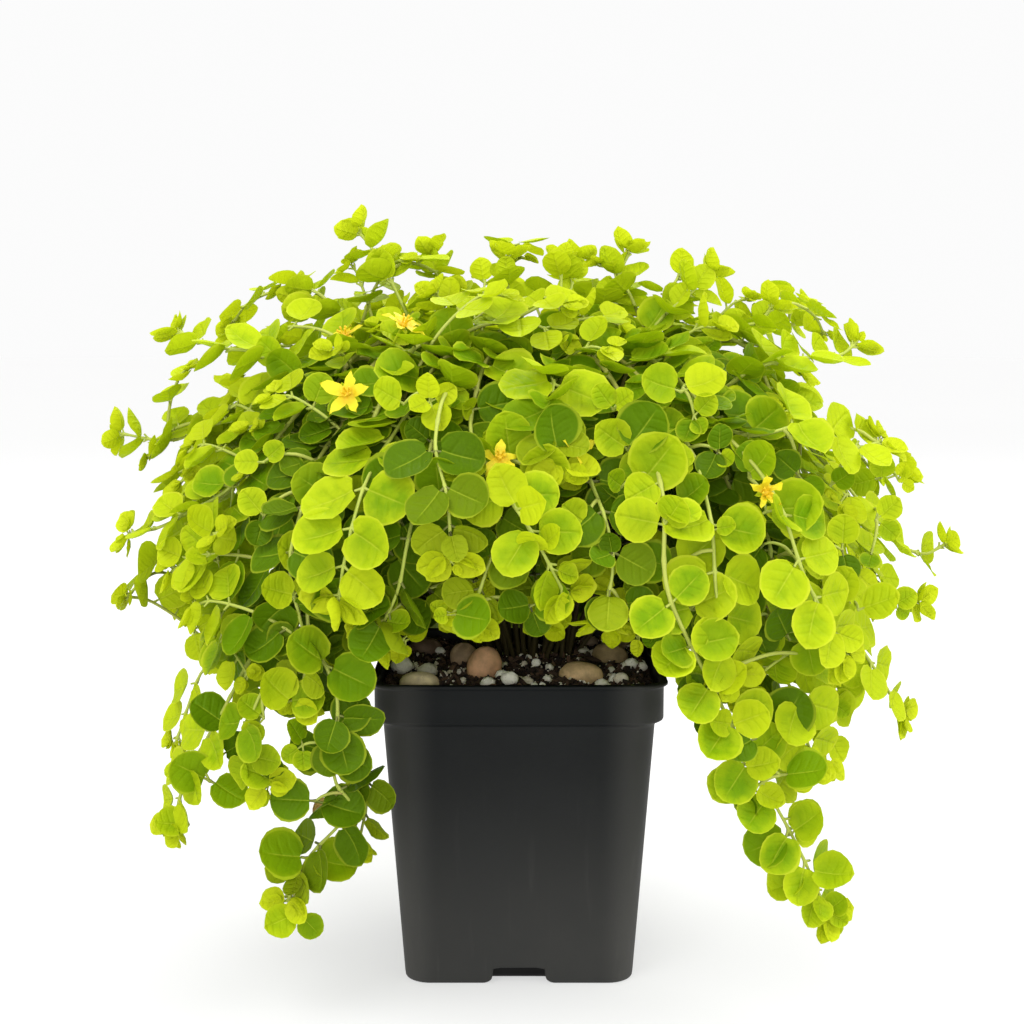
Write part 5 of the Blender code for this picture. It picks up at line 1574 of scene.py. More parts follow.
def set_shown(vines, stores, room, chance):
    """The leaves that show best in the picture, each pair on the nearest stem, or on a side shoot from it."""
    samples, owners = stem_samples(vines)
    shoots = []
    for foot_across, foot_down, *rows in SHOWN:
        back = front_at(foot_across, foot_down) + 2.0 + 2.5 * (2.5 - max(row[3] for row in rows))
        across, down, scale = seen_at(samples)
        beside = np.hypot(across - foot_across, down - foot_down)
        if foot_down > HANGING_ROW:
            behind = np.where((samples[:, 1] > -20) | (down > foot_down + 6), 500.0, 0.0)
            back = samples[np.argmin(beside + behind)][1]
        beside = beside + 2.0 * np.maximum(abs(samples[:, 1] - back) - 9, 0)
        near = int(np.argmin(beside))
        if beside[near] < 9.0:
            foot, source = Vector(samples[near]), near
        else:
            foot = Vector(spot_at(foot_across, foot_down, back))
            want = abs(np.linalg.norm(samples - foot, axis=1) - 9.0)
            want = want + np.maximum(foot.z - 3 - samples[:, 2], 0) * 1.5
            want = want + np.maximum(foot.y - samples[:, 1], 0) * 1.5 + np.maximum(down - foot_down, 0) * 0.2
            source = int(np.argmin(want))
            path = shoot_path(Vector(samples[source]), foot, light_at(foot))
            shoots.append((vines[owners[source]].name, path))
            samples = np.concatenate([samples, np.array(path[0])])
            owners = np.append(owners, np.full(len(path[0]), owners[source]))
        blades = stores[vines[owners[source]].name]
        for row in rows:
            leaf = shown_leaf(foot, row, room, chance)
            room.keep(leaf)
            blades.add(leaf, max(0.0, (row[3] - 1.5) / 2), max(0.0, 0.92 - row[3] * 0.4))
    return shoots


def in_outline(across, down, margin):
    """Whether a pixel lies in the dense part of the plant, this far from its left and right edge."""
    left, right = np.interp(down, EDGE_ROWS, EDGE_LEFT), np.interp(down, EDGE_ROWS, EDGE_RIGHT)
    return (left < across - margin) & (across + margin < right)


def in_the_way(leaf, free=False):
    """Whether a fill leaf would cover the soil or the pot in the picture, leave the plant's outline there,
    or go through the pot."""
    middle = leaf.middle()
    x, y, scale = seen_at(middle)
    reach = leaf.radius * scale
    if not free and not in_outline(x, y, reach * 0.5):
        return True
    left, right, top = SOIL_WINDOW
    if middle.y < 50 and left - reach * 0.2 < x < right + reach * 0.2 and y > top - reach * 0.75:
        return True
    wide = LIP_HALF + leaf.radius * 0.7
    return abs(middle.x) < wide and abs(middle.y) < wide and middle.z < POT_HEIGHT + 3


def try_leaf(foot, way, side, turn, node, radius, room, chance, most=0, free=False):
    """The leaf at a node in the best of some tilts, or nothing if each one crosses too many others."""

    def tries():
        for attempt in range(7):
            swing = 0.2 + 0.07 * attempt
            lean = shaken(swing, chance)
            lean[1] += 0.2
            size = radius * (1 - 0.03 * attempt)
            leaf = spread_leaf(foot, way, light_at(foot), side, turn, node, size, lean)
            if not (in_the_way(leaf, free) or room.hides(leaf)):
                yield leaf

    return room.least_crossed(tries(), most)


def cover_leaf(foot, way, size, room, chance, most):
    """A leaf that lies over its stem: it points along the stem, a little out and aside, facing the light."""
    light = light_at(foot)

    def tries():
        for attempt in range(6):
            aside = way.cross(light) * chance.uniform(-1.1, 1.1)
            along_it = way * chance.uniform(0.5, 1.0) + light * chance.uniform(0.25, 0.7) + aside
            upper = light + Vector(shaken(0.5, chance))
            leaf = Leaf(foot, along_it, upper, size * (1 - 0.03 * attempt))
            if not (in_the_way(leaf) or room.hides(leaf)):
                yield leaf

    return room.least_crossed(tries(), most)


def bare_nodes(vine):
    """Lengths of the leaf nodes on the part of a stem that its solid leaves bare."""
    first = min(vine.nodes)
    return list(np.arange(first - 12.5, 30.0, -12.5))


# Stems whose leaves get half the painted shade inside the mound, and no other painted shade or light
BRIGHT_STEMS = ("front_middle_bright", "front_right", "trail_right_long", "front_left_large")


def shade_at(place, stem=""):
    """How deep in the mound's shade a place is, as the painted shade of a leaf there: 0 outside, up to 1
    inside it, low in front and in the middle front of the picture, and below 0, a painted light, at the sides
    and the top.
    """
    level = float(shell_level(np.array(place)))
    outer = max(ramp(abs(place[0]), 66.0, 40.0), ramp(place[2], 205.0, 25.0))
    inside = ramp(0.98 - level, 0.0, 0.22) * (1 - 0.65 * outer)
    if stem in BRIGHT_STEMS:
        return inside * 0.5
    low = ramp(-place[2], -196.0, 42.0) * math.exp(-(((place[0] + 4.0) / 62.0) ** 4))
    across, down, scale = seen_at(np.array(place))
    front = ramp(down, 390, 60) * math.exp(-(((across - 505) / 270) ** 6)) * ramp(-place[1], 15, 30)
    return max(inside, 0.95 * low if place[1] < 0 else 0.0, 0.92 * front) - 0.42 * outer


def opened(leaf, stem_way, amount):
    """The same leaf, bent further away from its stem."""
    out = leaf.way - stem_way * leaf.way.dot(stem_way)
    return Leaf(leaf.foot, leaf.way + out.normalized() * amount, leaf.upper, leaf.radius)


def tip_leaves(path, size, rows, bend, blades, chance):
    """The youngest pairs, which close a tip, each as its distance from the tip and its share of size."""
    for node, (back, share) in enumerate(rows, 1):
        foot, way = along(path, path[1][-1] - back)
        for side in (-1, 1):
            lean = shaken(0.25, chance)
            leaf = spread_leaf(foot, way, light_at(foot), side, node % 2, 3 - node, size * share, lean)
            blades.add(opened(leaf, way, bend), 1.0)


def fill_leaves(vines, stores, room, chance):
    """Leaves on the tips and on the inner lengths of the stems, and over the stems themselves."""
    for vine in vines:
        blades = stores[vine.name]
        tip_leaves(vine.path, vine.size, ((1.5, 0.6), (0.5, 0.42), (0.0, 0.24)), 0.35, blades, chance)
        for i, length in enumerate(bare_nodes(vine)):
            foot, way = along(vine.path, length)
            level = float(shell_level(np.array(foot)))
            if level < 0.42 or foot.z < 124:
                continue
            for side in (-1, 1):
                radius = vine.size * chance.uniform(0.86, 1.08)
                leaf = try_leaf(foot, way, side, i % 2, 4, radius, room, chance)
                if leaf:
                    room.add(leaf)
                    blades.add(leaf, 0.0, shade_at(foot, vine.name) * chance.uniform(0.7, 1.2))
        length = vine.total - 9.0
        while length > 30.0:
            foot, way = along(vine.path, length)
            outside = float(shell_level(np.array(foot))) > 0.62
            if outside:
                size = vine.size * chance.uniform(0.72, 1.0) * min(1.0, 0.62 + (vine.total - length) / 90.0)
                most = 2 if foot.z > 150 else 0
                leaf = cover_leaf(foot, way, size, room, chance, most)
                if leaf:
                    room.add(leaf)
                    blades.add(leaf, 0.35 if vine.total - length < 22 else 0.05, shade_at(foot, vine.name))
            length -= chance.uniform(8.0, 12.5) if foot.z > 150 else 15.0


# The pairs of a side shoot: distance from its tip, share of its largest radius, and youth
SHOOT_NODES = ((1.4, 0.5, 1.0), (7.6, 0.72, 0.55), (15.6, 0.88, 0.2), (25.2, 0.97, 0.0), (36.0, 1.0, 0.0),
               (47.5, 1.0, 0.0), (60.0, 1.0, 0.0))


def shoot_path(start, tip, lift):
    """A side shoot: out of its stem, arching over and ending level, as a smooth line through four points."""
    span = tip - start
    high = (lift * 0.5 + Vector((0, 0, 0.5))) * span.length * 0.22
    return smooth_path([start, start + span * 0.35 + high * 0.8, start + span * 0.75 + high * 0.7, tip])


def shell_places(dice, share, count=5200):
    """Random places on the mound's surface, or a share of the way out to it: a dome, and a skirt below it."""
    ways = unit(dice.normal(size=(count, 3)))
    ways[:, 2] = np.abs(ways[:, 2])
    level = shell_level(ways * 100 + np.array((0, 0, SHELL_BASE)))[:, None]
    dome = ways * 100 / level + np.array((0, 0, SHELL_BASE))
    angle = dice.uniform(0, TURN, count // 3)
    flat = np.stack([np.cos(angle) * 100, np.sin(angle) * 100, np.zeros(len(angle))], 1)
    level = shell_level(flat + np.array((0, 0, SHELL_BASE)))[:, None]
    rim = flat / level
    height = skirt_height(rim[:, 0], rim[:, 1]) + dice.uniform(0, 1, len(angle)) * (SHELL_BASE - 96)
    rim = rim * (0.84 + 0.16 * (height[:, None] - 96) / 22)
    skirt = np.column_stack([rim[:, :2], np.minimum(height, SHELL_BASE)])
    spots = np.concatenate([dome, skirt])
    centre = np.stack([0 * spots[:, 0], 0 * spots[:, 0], np.minimum(spots[:, 2], SHELL_BASE)], axis=1)
    spots = centre + (spots - centre) * share
    across, down, scale = seen_at(spots)
    return spots[in_outline(across, down, 12) & (spots[:, 2] >= skirt_height(spots[:, 0], spots[:, 1]))]


def grow_shoots(vines, stores, room, chance, count, share, aims=()):
    """Side shoots to the given places, and then again and again to the place, a share of the way out in the
    mound, that has the fewest leaves round it."""
    dice = np.random.default_rng(11)
    places = shell_places(dice, share)
    placed = room.middle[: room.count]
    cover = np.exp(-((np.linalg.norm(places[:, None] - placed[None], axis=2) / 11.0) ** 2)).sum(axis=1)
    samples, owners = stem_samples(vines)
    inner = shell_level(samples)
    shoots = []
    for turn in range(len(aims) + count):
        aimed = turn < len(aims)
        thin = int(np.argmin(cover))
        if aimed:
            target = spot_at(*aims[turn])
            want = abs(np.linalg.norm(samples - target, axis=1) - 27.0) + np.where(inner < 0.35, 80.0, 0.0)
        else:
            centre = np.array((0, 0, min(SHELL_BASE, places[thin][2])))
            target = centre + (places[thin] - centre) * chance.uniform(0.9, 1.0)
            reach = np.linalg.norm(samples - target, axis=1)
            want = abs(reach - 44.0) + 60.0 * np.maximum(inner - share + 0.14, 0)
            want = want + 0.5 * np.maximum(samples[:, 2] - target[2] - 8, 0)
            want = want + np.where(samples[:, 2] < 122, 80.0, 0.0)
        source = int(np.argmin(want))
        vine = vines[owners[source]]
        start, tip = Vector(samples[source]), Vector(target)
        if not aimed and room.hides(Leaf(tip, tip - start, light_at(tip), 4.0)):
            cover[thin] += 1.5
            continue
        path = shoot_path(start, tip, light_at(tip))
        total = path[1][-1]
        size = chance.uniform(6.0, 8.0)
        grown = []
        for node, (back, share_of_size, youth) in enumerate(SHOOT_NODES):
            if total - back < 6.0:
                break
            foot, way = along(path, total - back)
            for side in (-1, 1):
                radius = size * share_of_size * chance.uniform(0.92, 1.08)
                most = 1 if aimed else 0
                leaf = try_leaf(foot, way, side, node % 2, node + 1, radius, room, chance, most, aimed)
                if leaf:
                    room.add(leaf)
                    grown.append((leaf, youth, shade_at(foot, vine.name)))
                    apart = np.linalg.norm(places - np.array(leaf.middle()), axis=1)
                    cover += np.exp(-((apart / 11.0) ** 2))
        if not aimed:
            cover[thin] += 1.5
        if len(grown) < 3:
            continue
        blades = stores[vine.name]
        for row in grown:
            blades.add(*row)
        tip_leaves(path, size, ((0.9, 0.42), (0.0, 0.25)), 0.3, blades, chance)
        shoots.append((vine.name, path))
    return shoots


def stem_tube(samples, lengths, start_width, end_width, nodes, old, young):
    """A stem: a round tube that thins to its tip, a little thicker at each pair, with its age along it and
    its painted shade deep in the mound.
    """
    path = np.array(samples)
    length = np.array(lengths)
    share = length / length[-1]
    width = start_width + (end_width - start_width) * share**1.6
    for node in nodes:
        width = width + 0.22 * np.exp(-(((length - node) / 1.1) ** 2))
    points, faces = tube(path, width)
    age = np.concatenate([np.repeat(old + (young - old) * share, STEM_SIDES), [old, young]])
    level = shell_level(points)
    age = np.maximum(age, np.clip((level - 0.72) / 0.2, 0, 1) * 0.7)
    # How much painted shade darkens the stem: more the deeper it lies in the mound.
    deep = np.clip((0.8 - level) / 0.35, 0, 1)
    return points, faces, np.stack([age, np.full(len(age), 0.5), deep], 1)


def vine_piece(vine, blades, shoots, looks, dice):
    """One stem with its side shoots and leaves, as one piece in the place of its solid."""
    parts = Parts()
    samples, lengths = vine.path
    root = Vector((samples[0].x, samples[0].y, SOIL_TOP - 2.5))
    path = [root, *samples]
    reach = (samples[0] - root).length
    lengths = [0.0, *(length + reach for length in lengths)]
    nodes = [node + reach for node in vine.nodes + bare_nodes(vine)]
    points, faces, tones = stem_tube(path, lengths, 0.88, 0.45, nodes, 0.0, 1.0)
    parts.add(points, faces, tones=tones, look=3)
    for samples, lengths in shoots:
        points, faces, tones = stem_tube(samples, lengths, 0.62, 0.4, [], 0.45, 1.0)
        parts.add(points, faces, tones=tones, look=3)
    points, faces, flat, tones, seat, kinds = leaf_shapes(blades, dice)
    if len(looks) > 4:
        across, down, scale = seen_at(points.mean(axis=1))
        dry = int(np.argmin(np.hypot(across - WITHERED_SPOT[0], down - WITHERED_SPOT[1])))
        kinds[dry] = 4
        middle = points[dry].mean(axis=0)
        points[dry] = middle + (points[dry] - middle) * np.array((0.34, 0.4, 0.46))
    every = copies(faces, points.shape[1], len(points))
    kinds = np.repeat(kinds, len(faces))
    parts.add(points.reshape(-1, 3), every, flat.reshape(-1, 2), tones.reshape(-1, 3), kinds)
    foot, way, upper, radius, youth, depth = blades.columns()
    points, faces, each = stalks(foot, seat, 0.34 + 0.035 * radius)
    age = np.full((len(points), 3), 0.9)
    # Each stalk takes its leaf's painted shade.
    age[:, 2] = np.repeat(depth, each)
    parts.add(points, faces, tones=age, look=3)
    return put_piece(f"vine_{vine.name}", parts, looks, "leaf_green", [f"stem_{vine.name}"])


def petal_grid(length, width, open_up, droop, rows=9, columns=7):
    """A petal: its half width is a sine of the way out, drawn to a point; its height is a cup and a droop."""
    out = np.linspace(0, 1, rows)[:, None]
    side = np.linspace(-1, 1, columns)[None]
    half = width / 2 * np.sin(math.pi * np.clip(out * 0.86 + 0.14, 0, 1)) ** 0.75 * (1 - out**6)
    x = 0.7 + out * length + 0 * side
    y = half * side
    z = open_up * length * out**1.3 - droop * length * out**3
    z = z + 0.22 * half * side**2 - 0.1 * np.abs(side) * half
    flat = np.stack(np.broadcast_arrays(out, 0.5 + 0.5 * side), axis=-1)
    return np.stack([x, y, z], axis=-1).reshape(-1, 3), grid_faces(rows, columns), flat.reshape(-1, 2)


def turned_about_z(points, angle):
    c, s = math.cos(angle), math.sin(angle)
    return points @ np.array(((c, s, 0), (-s, c, 0), (0, 0, 1)))


def flower_piece(row, looks, seed, stem_spots):
    """A flower: five pointed petals, five sepals behind them, five stamens, and a stalk to its stem."""
    name, centre, facing, radius = row
    dice = np.random.default_rng(seed)
    crumpled = "crumpled" in name
    parts = Parts()
    for i in range(5):
        angle = (i + dice.uniform(-0.14, 0.14)) * TURN / 5
        open_up = 0.3 + dice.uniform(-0.25, 0.3) + (0.5 if crumpled else 0)
        droop = dice.uniform(0.0, 0.4)
        length, width = radius * dice.uniform(0.78, 0.98), radius * dice.uniform(0.4, 0.52)
        points, faces, flat = petal_grid(length, width, open_up, droop)
        crease = 0.5 if crumpled else 0.28
        points = points + crease * np.stack([ripples(points, 3.0, seed + k + 3 * i) for k in range(3)], 1)
        parts.add(turned_about_z(points, angle), faces, flat, look=0)
        points, faces, flat = petal_grid(radius * 0.5, radius * 0.24, 0.12, 0.1, 6, 5)
        points[:, 2] -= 0.9
        parts.add(turned_about_z(points, angle + TURN / 10), faces, flat, (0.9, 0.5, 0.0), 1)
        out = np.linspace(0, 1, 6)[:, None]
        path = np.hstack([0.5 + out * 1.1, 0 * out, 0.2 + out * radius * 0.36])
        thick = np.array((0.3, 0.24, 0.2, 0.2, 0.42, 0.3))
        points, faces = tube(turned_about_z(path, angle + TURN / 10), thick, 6)
        parts.add(points, faces, (0.1, 0.5), look=0)
    points, faces = lump_ball(6, 10)
    parts.add(points * np.array((1.2, 1.2, 0.9)), faces, (0.05, 0.5), look=0)
    turned = np.array(flower_frame(facing))
    parts.points = [points @ turned.T + np.array(centre) for points in parts.points]
    back = np.array(centre) - turned[:, 2] * 1.0
    reach = np.linalg.norm(stem_spots - (back - turned[:, 2] * 9.0), axis=1)
    foot = Vector(stem_spots[int(np.argmin(reach))])
    start = Vector(back)
    away = Vector(-turned[:, 2])
    samples, lengths = smooth_path([start, start + away * 5.0, foot.lerp(start + away * 9.0, 0.45), foot])
    points, faces, tones = stem_tube(samples, lengths, 0.5, 0.45, [], 0.9, 0.7)
    parts.add(points, faces, tones=tones, look=1)
    return put_piece(f"{name}_bloom", parts, looks, "yellow_petal", [name])


BACK_STONE = ("stone_dim", 27.0, 37.0, 103.0, 3.6, 3.0, 2.4, 20, 0)
STONE_COLOURS = (
    (0.80, 0.62, 0.36), (0.62, 0.34, 0.17), (0.62, 0.42, 0.20), (0.38, 0.25, 0.14), (0.32, 0.22, 0.09),
    (0.20, 0.12, 0.07), (0.28, 0.18, 0.10), (0.22, 0.15, 0.09),
)

# Pale chips on the soil in the picture: (left, top, right, bottom) in pixels, then paleness and warmth
CHIPS = (
    (390, 664, 413, 675, 0.75, 0.1), (417, 664, 438, 678, 0.6, 0.35), (435, 647, 445, 655, 0.8, 0.0),
    (495, 667, 509, 684, 0.95, 0.0), (480, 678, 496, 687, 0.9, 0.1), (501, 680, 519, 687, 0.95, 0.0),
    (520, 672, 534, 684, 0.7, 0.6), (531, 661, 541, 674, 0.9, 0.0), (542, 671, 552, 683, 0.85, 0.1),
    (530, 681, 538, 687, 0.9, 0.0), (539, 682, 546, 687, 0.9, 0.0), (594, 682, 610, 687, 0.8, 0.2),
    (608, 675, 621, 684, 0.9, 0.0), (613, 677, 629, 686, 0.7, 0.6), (624, 662, 638, 672, 0.9, 0.0),
    (639, 659, 649, 667, 0.85, 0.0), (649, 662, 661, 672, 0.5, 0.1), (577, 648, 591, 656, 0.55, 0.2),
    (631, 651, 641, 656, 0.8, 0.0),
)


def chip_places():
    """Where the pale chips lie: where the ray through each middle meets the soil, and their sizes there."""
    rows = np.array(CHIPS)
    ways = ray((rows[:, 0] + rows[:, 2]) / 2, (rows[:, 1] + rows[:, 3]) / 2)
    reach = (SOIL_TOP + 1.6 - CAMERA_PLACE[2]) / ways[:, 2]
    spots = np.array(CAMERA_PLACE) + ways * reach[:, None]
    wide = (rows[:, 2] - rows[:, 0]) / 2 * reach / SHARP
    inside = BAND_HALF - WALL - GAP - 1.0
    spots[:, :2] = np.clip(spots[:, :2], -inside + wide[:, None], inside - wide[:, None])
    spots[:, 2] = soil_height(spots[:, 0], spots[:, 1]) + wide * 0.6
    return spots, wide, rows[:, 4:]


def colour_field(name, description, default):
    return FloatVectorProperty(name=name, description=description, subtype="COLOR", default=default)


def count_field(name, description, default):
    return IntProperty(name=name, description=description, default=default, min=0)


class POTPLANT_PG_pot(bpy.types.PropertyGroup):
    """The pot, its soil and its stones."""

    pot_colour: colour_field("Pot colour", "Colour of the moulded plastic", (0.0100, 0.0110, 0.0113))
    crumbs: count_field("Soil crumbs", "Number of peat crumbs on the soil", 5200)
    bark_chips: count_field("Bark chips", "Number of bark flakes on the soil", 420)
    chips: count_field("Loose chips", "Number of pale chips strewn at random", 110)
    specks: count_field("Pale specks", "Number of small pale grains on the soil", 420)


class POTPLANT_PG_plant(bpy.types.PropertyGroup):
    """The plant's leaves, stems and flowers."""

    shoots: count_field("Side shoots", "Number of places filled with a side shoot", 200)
    inner_shoots: count_field("Inner shoots", "Number of places filled inside the mound", 90)
    young_colour: colour_field("Young leaf", "Colour of the leaves at the tips", (0.54, 0.61, 0.012))
    leaf_colour: colour_field("Grown leaf", "Colour of a grown leaf", (0.15, 0.30, 0.002))
    pale_colour: colour_field("Pale leaf", "Colour of the palest grown leaves", (0.45, 0.56, 0.008))
    shade_colour: colour_field("Shaded leaf", "Colour of the leaves in the shade", (0.060, 0.115, 0.0008))
    stem_old_colour: colour_field("Old stem", "Colour of a stem near the soil", (0.34, 0.23, 0.085))
    stem_young_colour: colour_field("Young stem", "Colour of a stem near its tip", (0.36, 0.42, 0.06))
    petal_colour: colour_field("Petal", "Colour of the flowers", (0.88, 0.76, 0.010))


class POTPLANT_PG_stage(bpy.types.PropertyGroup):
    """The floor, the light and the camera."""

    sky: FloatProperty(
        name="Sky light", description="Strength of the light from all round", default=0.97, min=0.0
    )
    key: FloatProperty(
        name="Key light", description="Power of the soft lamp over the front", default=11.5, unit="POWER"
    )
    floor_size: FloatProperty(name="Floor", description="Radius of the floor", default=6.0, unit="LENGTH")


class POTPLANT_OT_stage(bpy.types.Operator):
    """Lay the pale floor, hang the soft lights and set the camera"""

    bl_idname = "potplant.stage"
    bl_label = "Stage"

    def execute(self, context):
        sizes = context.scene.potplant_stage
        corners = 64
        angle = np.arange(corners) / corners * TURN
        sunk = np.full(corners, -0.0002 / sizes.floor_size)
        rim = np.stack([np.cos(angle), np.sin(angle), sunk], 1) * sizes.floor_size
        mesh = bpy.data.meshes.new("floor")
        mesh.from_pydata(rim.tolist(), [], [list(range(corners))])
        sheet = Sheet("floor_white")
        cloud = sheet.cloud(sheet.object_place(), 3.0, 2.0)
        colour = sheet.mix(cloud * 0.5, (0.37, 0.37, 0.368), (0.36, 0.36, 0.357))
        x, y, z = sheet.split(sheet.object_place())
        glow = sheet.mix((x * x + y * y).between(0.4, 9.0), (0.99, 0.99, 0.99), (1.07, 1.07, 1.07))
        more = {"Emission Color": glow, "Emission Strength": 0.54}
        mesh.materials.append(sheet.end(sheet.coat(colour, 0.8, None, 0.1, more)))
        floor = bpy.data.objects.new("floor", mesh)
        context.scene.collection.objects.link(floor)
        world = bpy.data.worlds.new("studio")
        world.use_nodes = True
        sky = world.node_tree.nodes["Background"]
        sky.inputs["Color"].default_value = (1.0, 1.0, 1.0, 1.0)
        sky.inputs["Strength"].default_value = sizes.sky
        context.scene.world = world
        for name, place, size, power in (
            ("key", (-0.55, -0.75, 1.25), 0.9, sizes.key),
            ("fill", (0.95, -0.35, 0.95), 0.9, sizes.key * 0.95),
            ("back", (0.1, 0.9, 1.3), 1.0, sizes.key * 1.2),
            ("front", (-0.1, -1.3, 0.42), 0.6, sizes.key * 0.5),
        ):
            light = bpy.data.lights.new(name, "AREA")
            light.shape = "DISK"
            light.size = size
            light.energy = power
            lamp = bpy.data.objects.new(name, light)
            lamp.location = place
            lamp.rotation_euler = (Vector((0, 0, 0.15)) - Vector(place)).to_track_quat("-Z", "Y").to_euler()
            context.scene.collection.objects.link(lamp)
        film = bpy.data.cameras.new("camera")
        film.lens = LENS
        film.sensor_width = FILM
        film.clip_start = 0.01
        camera = bpy.data.objects.new("camera", film)
        camera.location = Vector(CAMERA_PLACE) * MM
        camera.rotation_euler = (math.radians(90 - CAMERA_DIP), 0, 0)
        context.scene.collection.objects.link(camera)
        context.scene.camera = camera
        context.scene.view_settings.view_transform = "Standard"
        return {"FINISHED"}


class POTPLANT_OT_pot(bpy.types.Operator):
    """Mould the black pot with its lip, band, rounded corners and drain channels"""

    bl_idname = "potplant.pot"
    bl_label = "Pot"

    def execute(self, context):
        parts = Parts()
        points, faces = pot_shell()
        parts.add(points, outward(points, faces))
        put_piece("pot_moulded", parts, [pot_plastic(context.scene.potplant_pot)], "black_plastic", ["pot"])
        return {"FINISHED"}


class POTPLANT_OT_soil(bpy.types.Operator):
    """Fill the pot with soil, and strew it with peat crumbs, bark flakes and pale chips"""

    bl_idname = "potplant.soil"
    bl_label = "Soil"

    def execute(self, context):
        sizes = context.scene.potplant_pot
        dice = np.random.default_rng(5)
        parts = Parts()
        points, faces = soil_body()
        parts.add(points, outward(points, faces))
        put_piece("soil_bed", parts, [soil_mix()], "potting_mix", ["soil"])
        parts = Parts()
        chips, chip_sizes, chip_looks = chip_places()
        spots = soil_places(sizes.crumbs, dice)
        beside = np.linalg.norm(spots[:, None, :2] - chips[None, :, :2], axis=2) > chip_sizes * 1.05
        spots = spots[beside.all(axis=1)]
        size = 0.28 + 0.75 * dice.power(0.5, (len(spots), 1)) * dice.uniform(0.6, 1.5, (len(spots), 3))
        spots[:, 2] += size[:, 2] * 0.3
        tones = dice.uniform(0, 1, (len(spots), 3)) ** 1.7
        add_lumps(parts, spots, size, 0.35, tones, dice, rows=3, columns=5)
        peat = crumb_look("peat_crumbs", (0.007, 0.004, 0.003), (0.085, 0.045, 0.023), 0.95)
        put_piece("soil_crumbs", parts, [peat], "potting_mix", smooth=False)
        parts = Parts()
        spots = clear_of_pebbles(soil_places(sizes.bark_chips, dice, 2.4))
        size = dealt(dice, len(spots), (1.0, 3.2), (0.6, 1.3), (0.25, 0.6))
        spots[:, 2] += 0.7
        add_lumps(parts, spots, size, 0.22, dice.uniform(0, 1, (len(spots), 3)), dice, rows=4, columns=7)
        bark = crumb_look("bark_brown", (0.014, 0.008, 0.005), (0.15, 0.082, 0.042), 0.85)
        put_piece("bark_flakes", parts, [bark], "potting_mix", smooth=False)
        parts = Parts()
        size = chip_sizes[:, None] * np.array((1.0, 0.85, 0.8))
        tones = np.column_stack([chip_looks, np.zeros(len(chip_looks))])
        add_lumps(parts, chips, size, 0.09, tones, dice, rows=7, columns=10, turned=False)
        spots = clear_of_pebbles(soil_places(sizes.chips, dice, 2.2))
        size = dice.uniform(0.8, 1.9, (len(spots), 1)) * dice.uniform(0.7, 1.1, (len(spots), 3))
        spots[:, 2] += size[:, 2] * 0.4
        tones = dealt(dice, len(spots), (0.3, 1), (0, 0.7), None)
        add_lumps(parts, spots, size, 0.2, tones, dice, rows=5, columns=8)
        spots = soil_places(sizes.specks, dice)
        size = dice.uniform(0.22, 0.6, (len(spots), 3))
        spots[:, 2] += 0.55
        tones = dealt(dice, len(spots), (0.4, 1), (0, 0.5), None)
        add_lumps(parts, spots, size, 0.2, tones, dice, rows=3, columns=5)
        put_piece("pumice_chips", parts, [pumice_look()], "potting_mix")
        return {"FINISHED"}


class POTPLANT_OT_pebbles(bpy.types.Operator):
    """Lay the worn pebbles in the soil"""

    bl_idname = "potplant.pebbles"
    bl_label = "Pebbles"

    def execute(self, context):
        for i, row in enumerate(PEBBLES + (BACK_STONE,)):
            parts = Parts()
            parts.add(*pebble_body(row, i))
            nodes = [row[0]] if i < len(PEBBLES) else []
            look = stone_look(i, STONE_COLOURS[i])
            put_piece(f"{row[0]}_worn", parts, [look], f"stone_{min(i, len(PEBBLES) - 1)}", nodes)
        return {"FINISHED"}


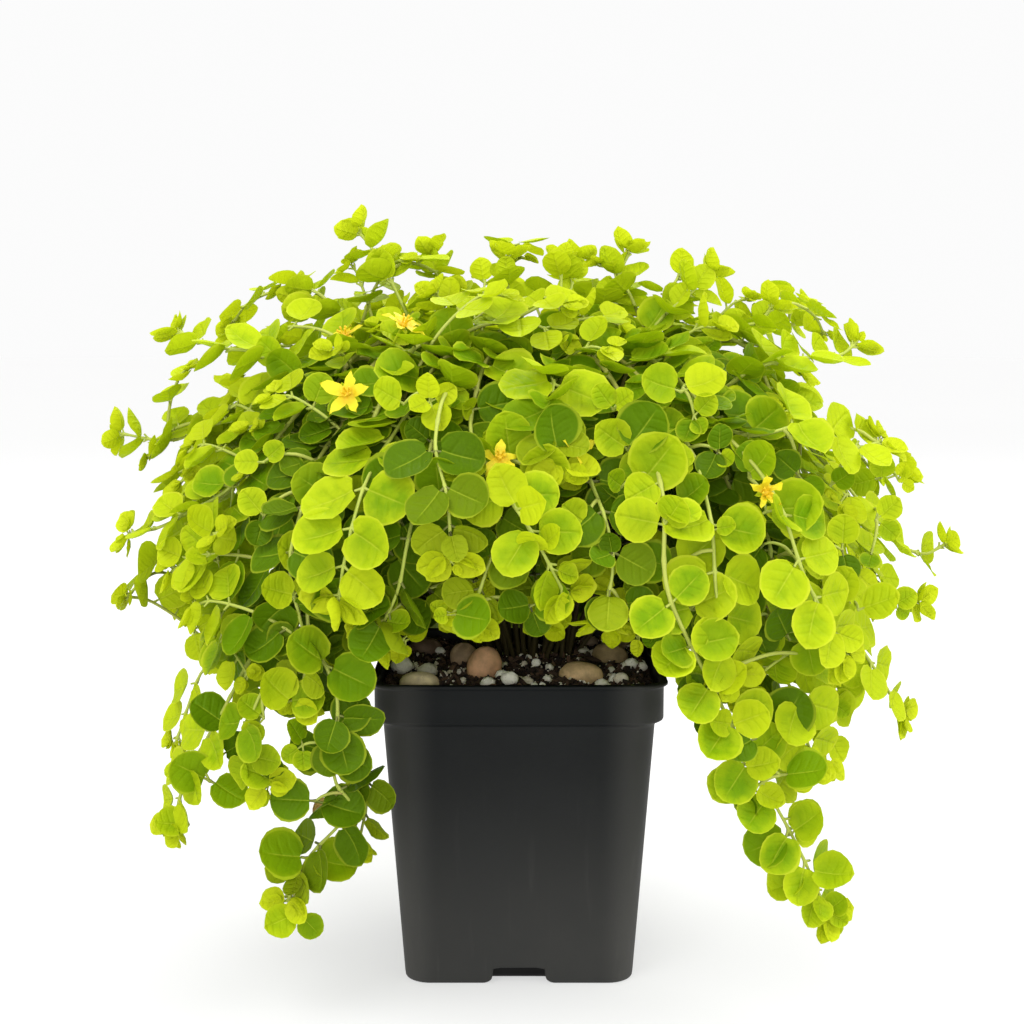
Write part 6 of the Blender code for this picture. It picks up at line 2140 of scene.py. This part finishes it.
class POTPLANT_OT_plant(bpy.types.Operator):
    """Grow the stems with their leaves and side shoots, and set the flowers among them"""

    bl_idname = "potplant.plant"
    bl_label = "Plant"

    def execute(self, context):
        sizes = context.scene.potplant_plant
        crowd = Crowd()
        chance = random.Random(SEED)
        add_obstacles(crowd)
        vines = place_vines(crowd, chance)
        place_leaves(vines, crowd, chance)
        stores = {vine.name: Blades() for vine in vines}
        room = Room()
        for name, centre, facing, radius in FLOWERS:
            below = Vector(centre) - Vector((0, 0, radius + PETIOLE))
            room.add(Leaf(below, Vector((0, 0, 1)), Vector(facing), radius))
        for vine in vines:
            for (node, side), leaf in sorted(vine.leaves.items()):
                if node < 2:
                    leaf = opened(leaf, along(vine.path, vine.nodes[node])[1], (0.5, 0.25)[node])
                youth = (0.9, 0.4, 0.12)[node] if node < 3 else 0.0
                stores[vine.name].add(leaf, youth, shade_at(leaf.foot, vine.name) * 0.8)
                room.add(leaf)
        shoots = set_shown(vines, stores, room, chance)
        fill_leaves(vines, stores, room, chance)
        shoots += grow_shoots(vines, stores, room, chance, sizes.shoots, 1.0, TWIGS)
        shoots += grow_shoots(vines, stores, room, chance, sizes.inner_shoots, 0.76)
        looks = [
            leaf_look("leaf_lime", (0.32, 0.45, 0.003), 0.30, sizes),
            leaf_look("leaf_young", (0.51, 0.61, 0.006), 0.36, sizes),
            # The shaded look: a copy with painted shade, darker and with less light through it.
            leaf_look("leaf_shaded", (0.07, 0.15, 0.001), 0.14, sizes),
            stem_look(sizes),
        ]
        dice = np.random.default_rng(23)
        for vine in vines:
            own = [path for name, path in shoots if name == vine.name]
            more = [withered_look()] if vine.name == WITHERED_ON else []
            vine_piece(vine, stores[vine.name], own, looks + more, dice)
        shoot_spots = [np.array(path[0]) for name, path in shoots]
        stem_spots = np.concatenate([stem_samples(vines)[0], *shoot_spots])
        flower_looks = [petal_look(sizes), looks[0]]
        for i, row in enumerate(FLOWERS):
            flower_piece(row, flower_looks, 70 + i, stem_spots)
        return {"FINISHED"}


class POTPLANT_PT_panel(bpy.types.Panel):
    """The steps of building the potted plant, and their sizes and colours"""

    bl_idname = "POTPLANT_PT_panel"
    bl_label = "Creeping jenny"
    bl_space_type = "VIEW_3D"
    bl_region_type = "UI"
    bl_category = "Creeping jenny"

    def draw(self, context):
        for group in (context.scene.potplant_pot, context.scene.potplant_plant, context.scene.potplant_stage):
            box = self.layout.box()
            for name in group.__annotations__:
                box.prop(group, name)
        for step in STEPS:
            self.layout.operator(step.bl_idname)


GROUPS = {
    "potplant_pot": POTPLANT_PG_pot,
    "potplant_plant": POTPLANT_PG_plant,
    "potplant_stage": POTPLANT_PG_stage,
}
STEPS = (POTPLANT_OT_stage, POTPLANT_OT_pot, POTPLANT_OT_soil, POTPLANT_OT_pebbles, POTPLANT_OT_plant)


def register():
    for kind in (*GROUPS.values(), *STEPS, POTPLANT_PT_panel):
        bpy.utils.register_class(kind)
    for name, kind in GROUPS.items():
        setattr(bpy.types.Scene, name, PointerProperty(type=kind))


def unregister():
    for name in GROUPS:
        delattr(bpy.types.Scene, name)
    for kind in reversed((*GROUPS.values(), *STEPS, POTPLANT_PT_panel)):
        bpy.utils.unregister_class(kind)


def main():
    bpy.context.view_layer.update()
    register()
    bpy.ops.potplant.stage()
    bpy.ops.potplant.pot()
    bpy.ops.potplant.soil()
    bpy.ops.potplant.pebbles()
    bpy.ops.potplant.plant()


if __name__ == "__main__":
    main()
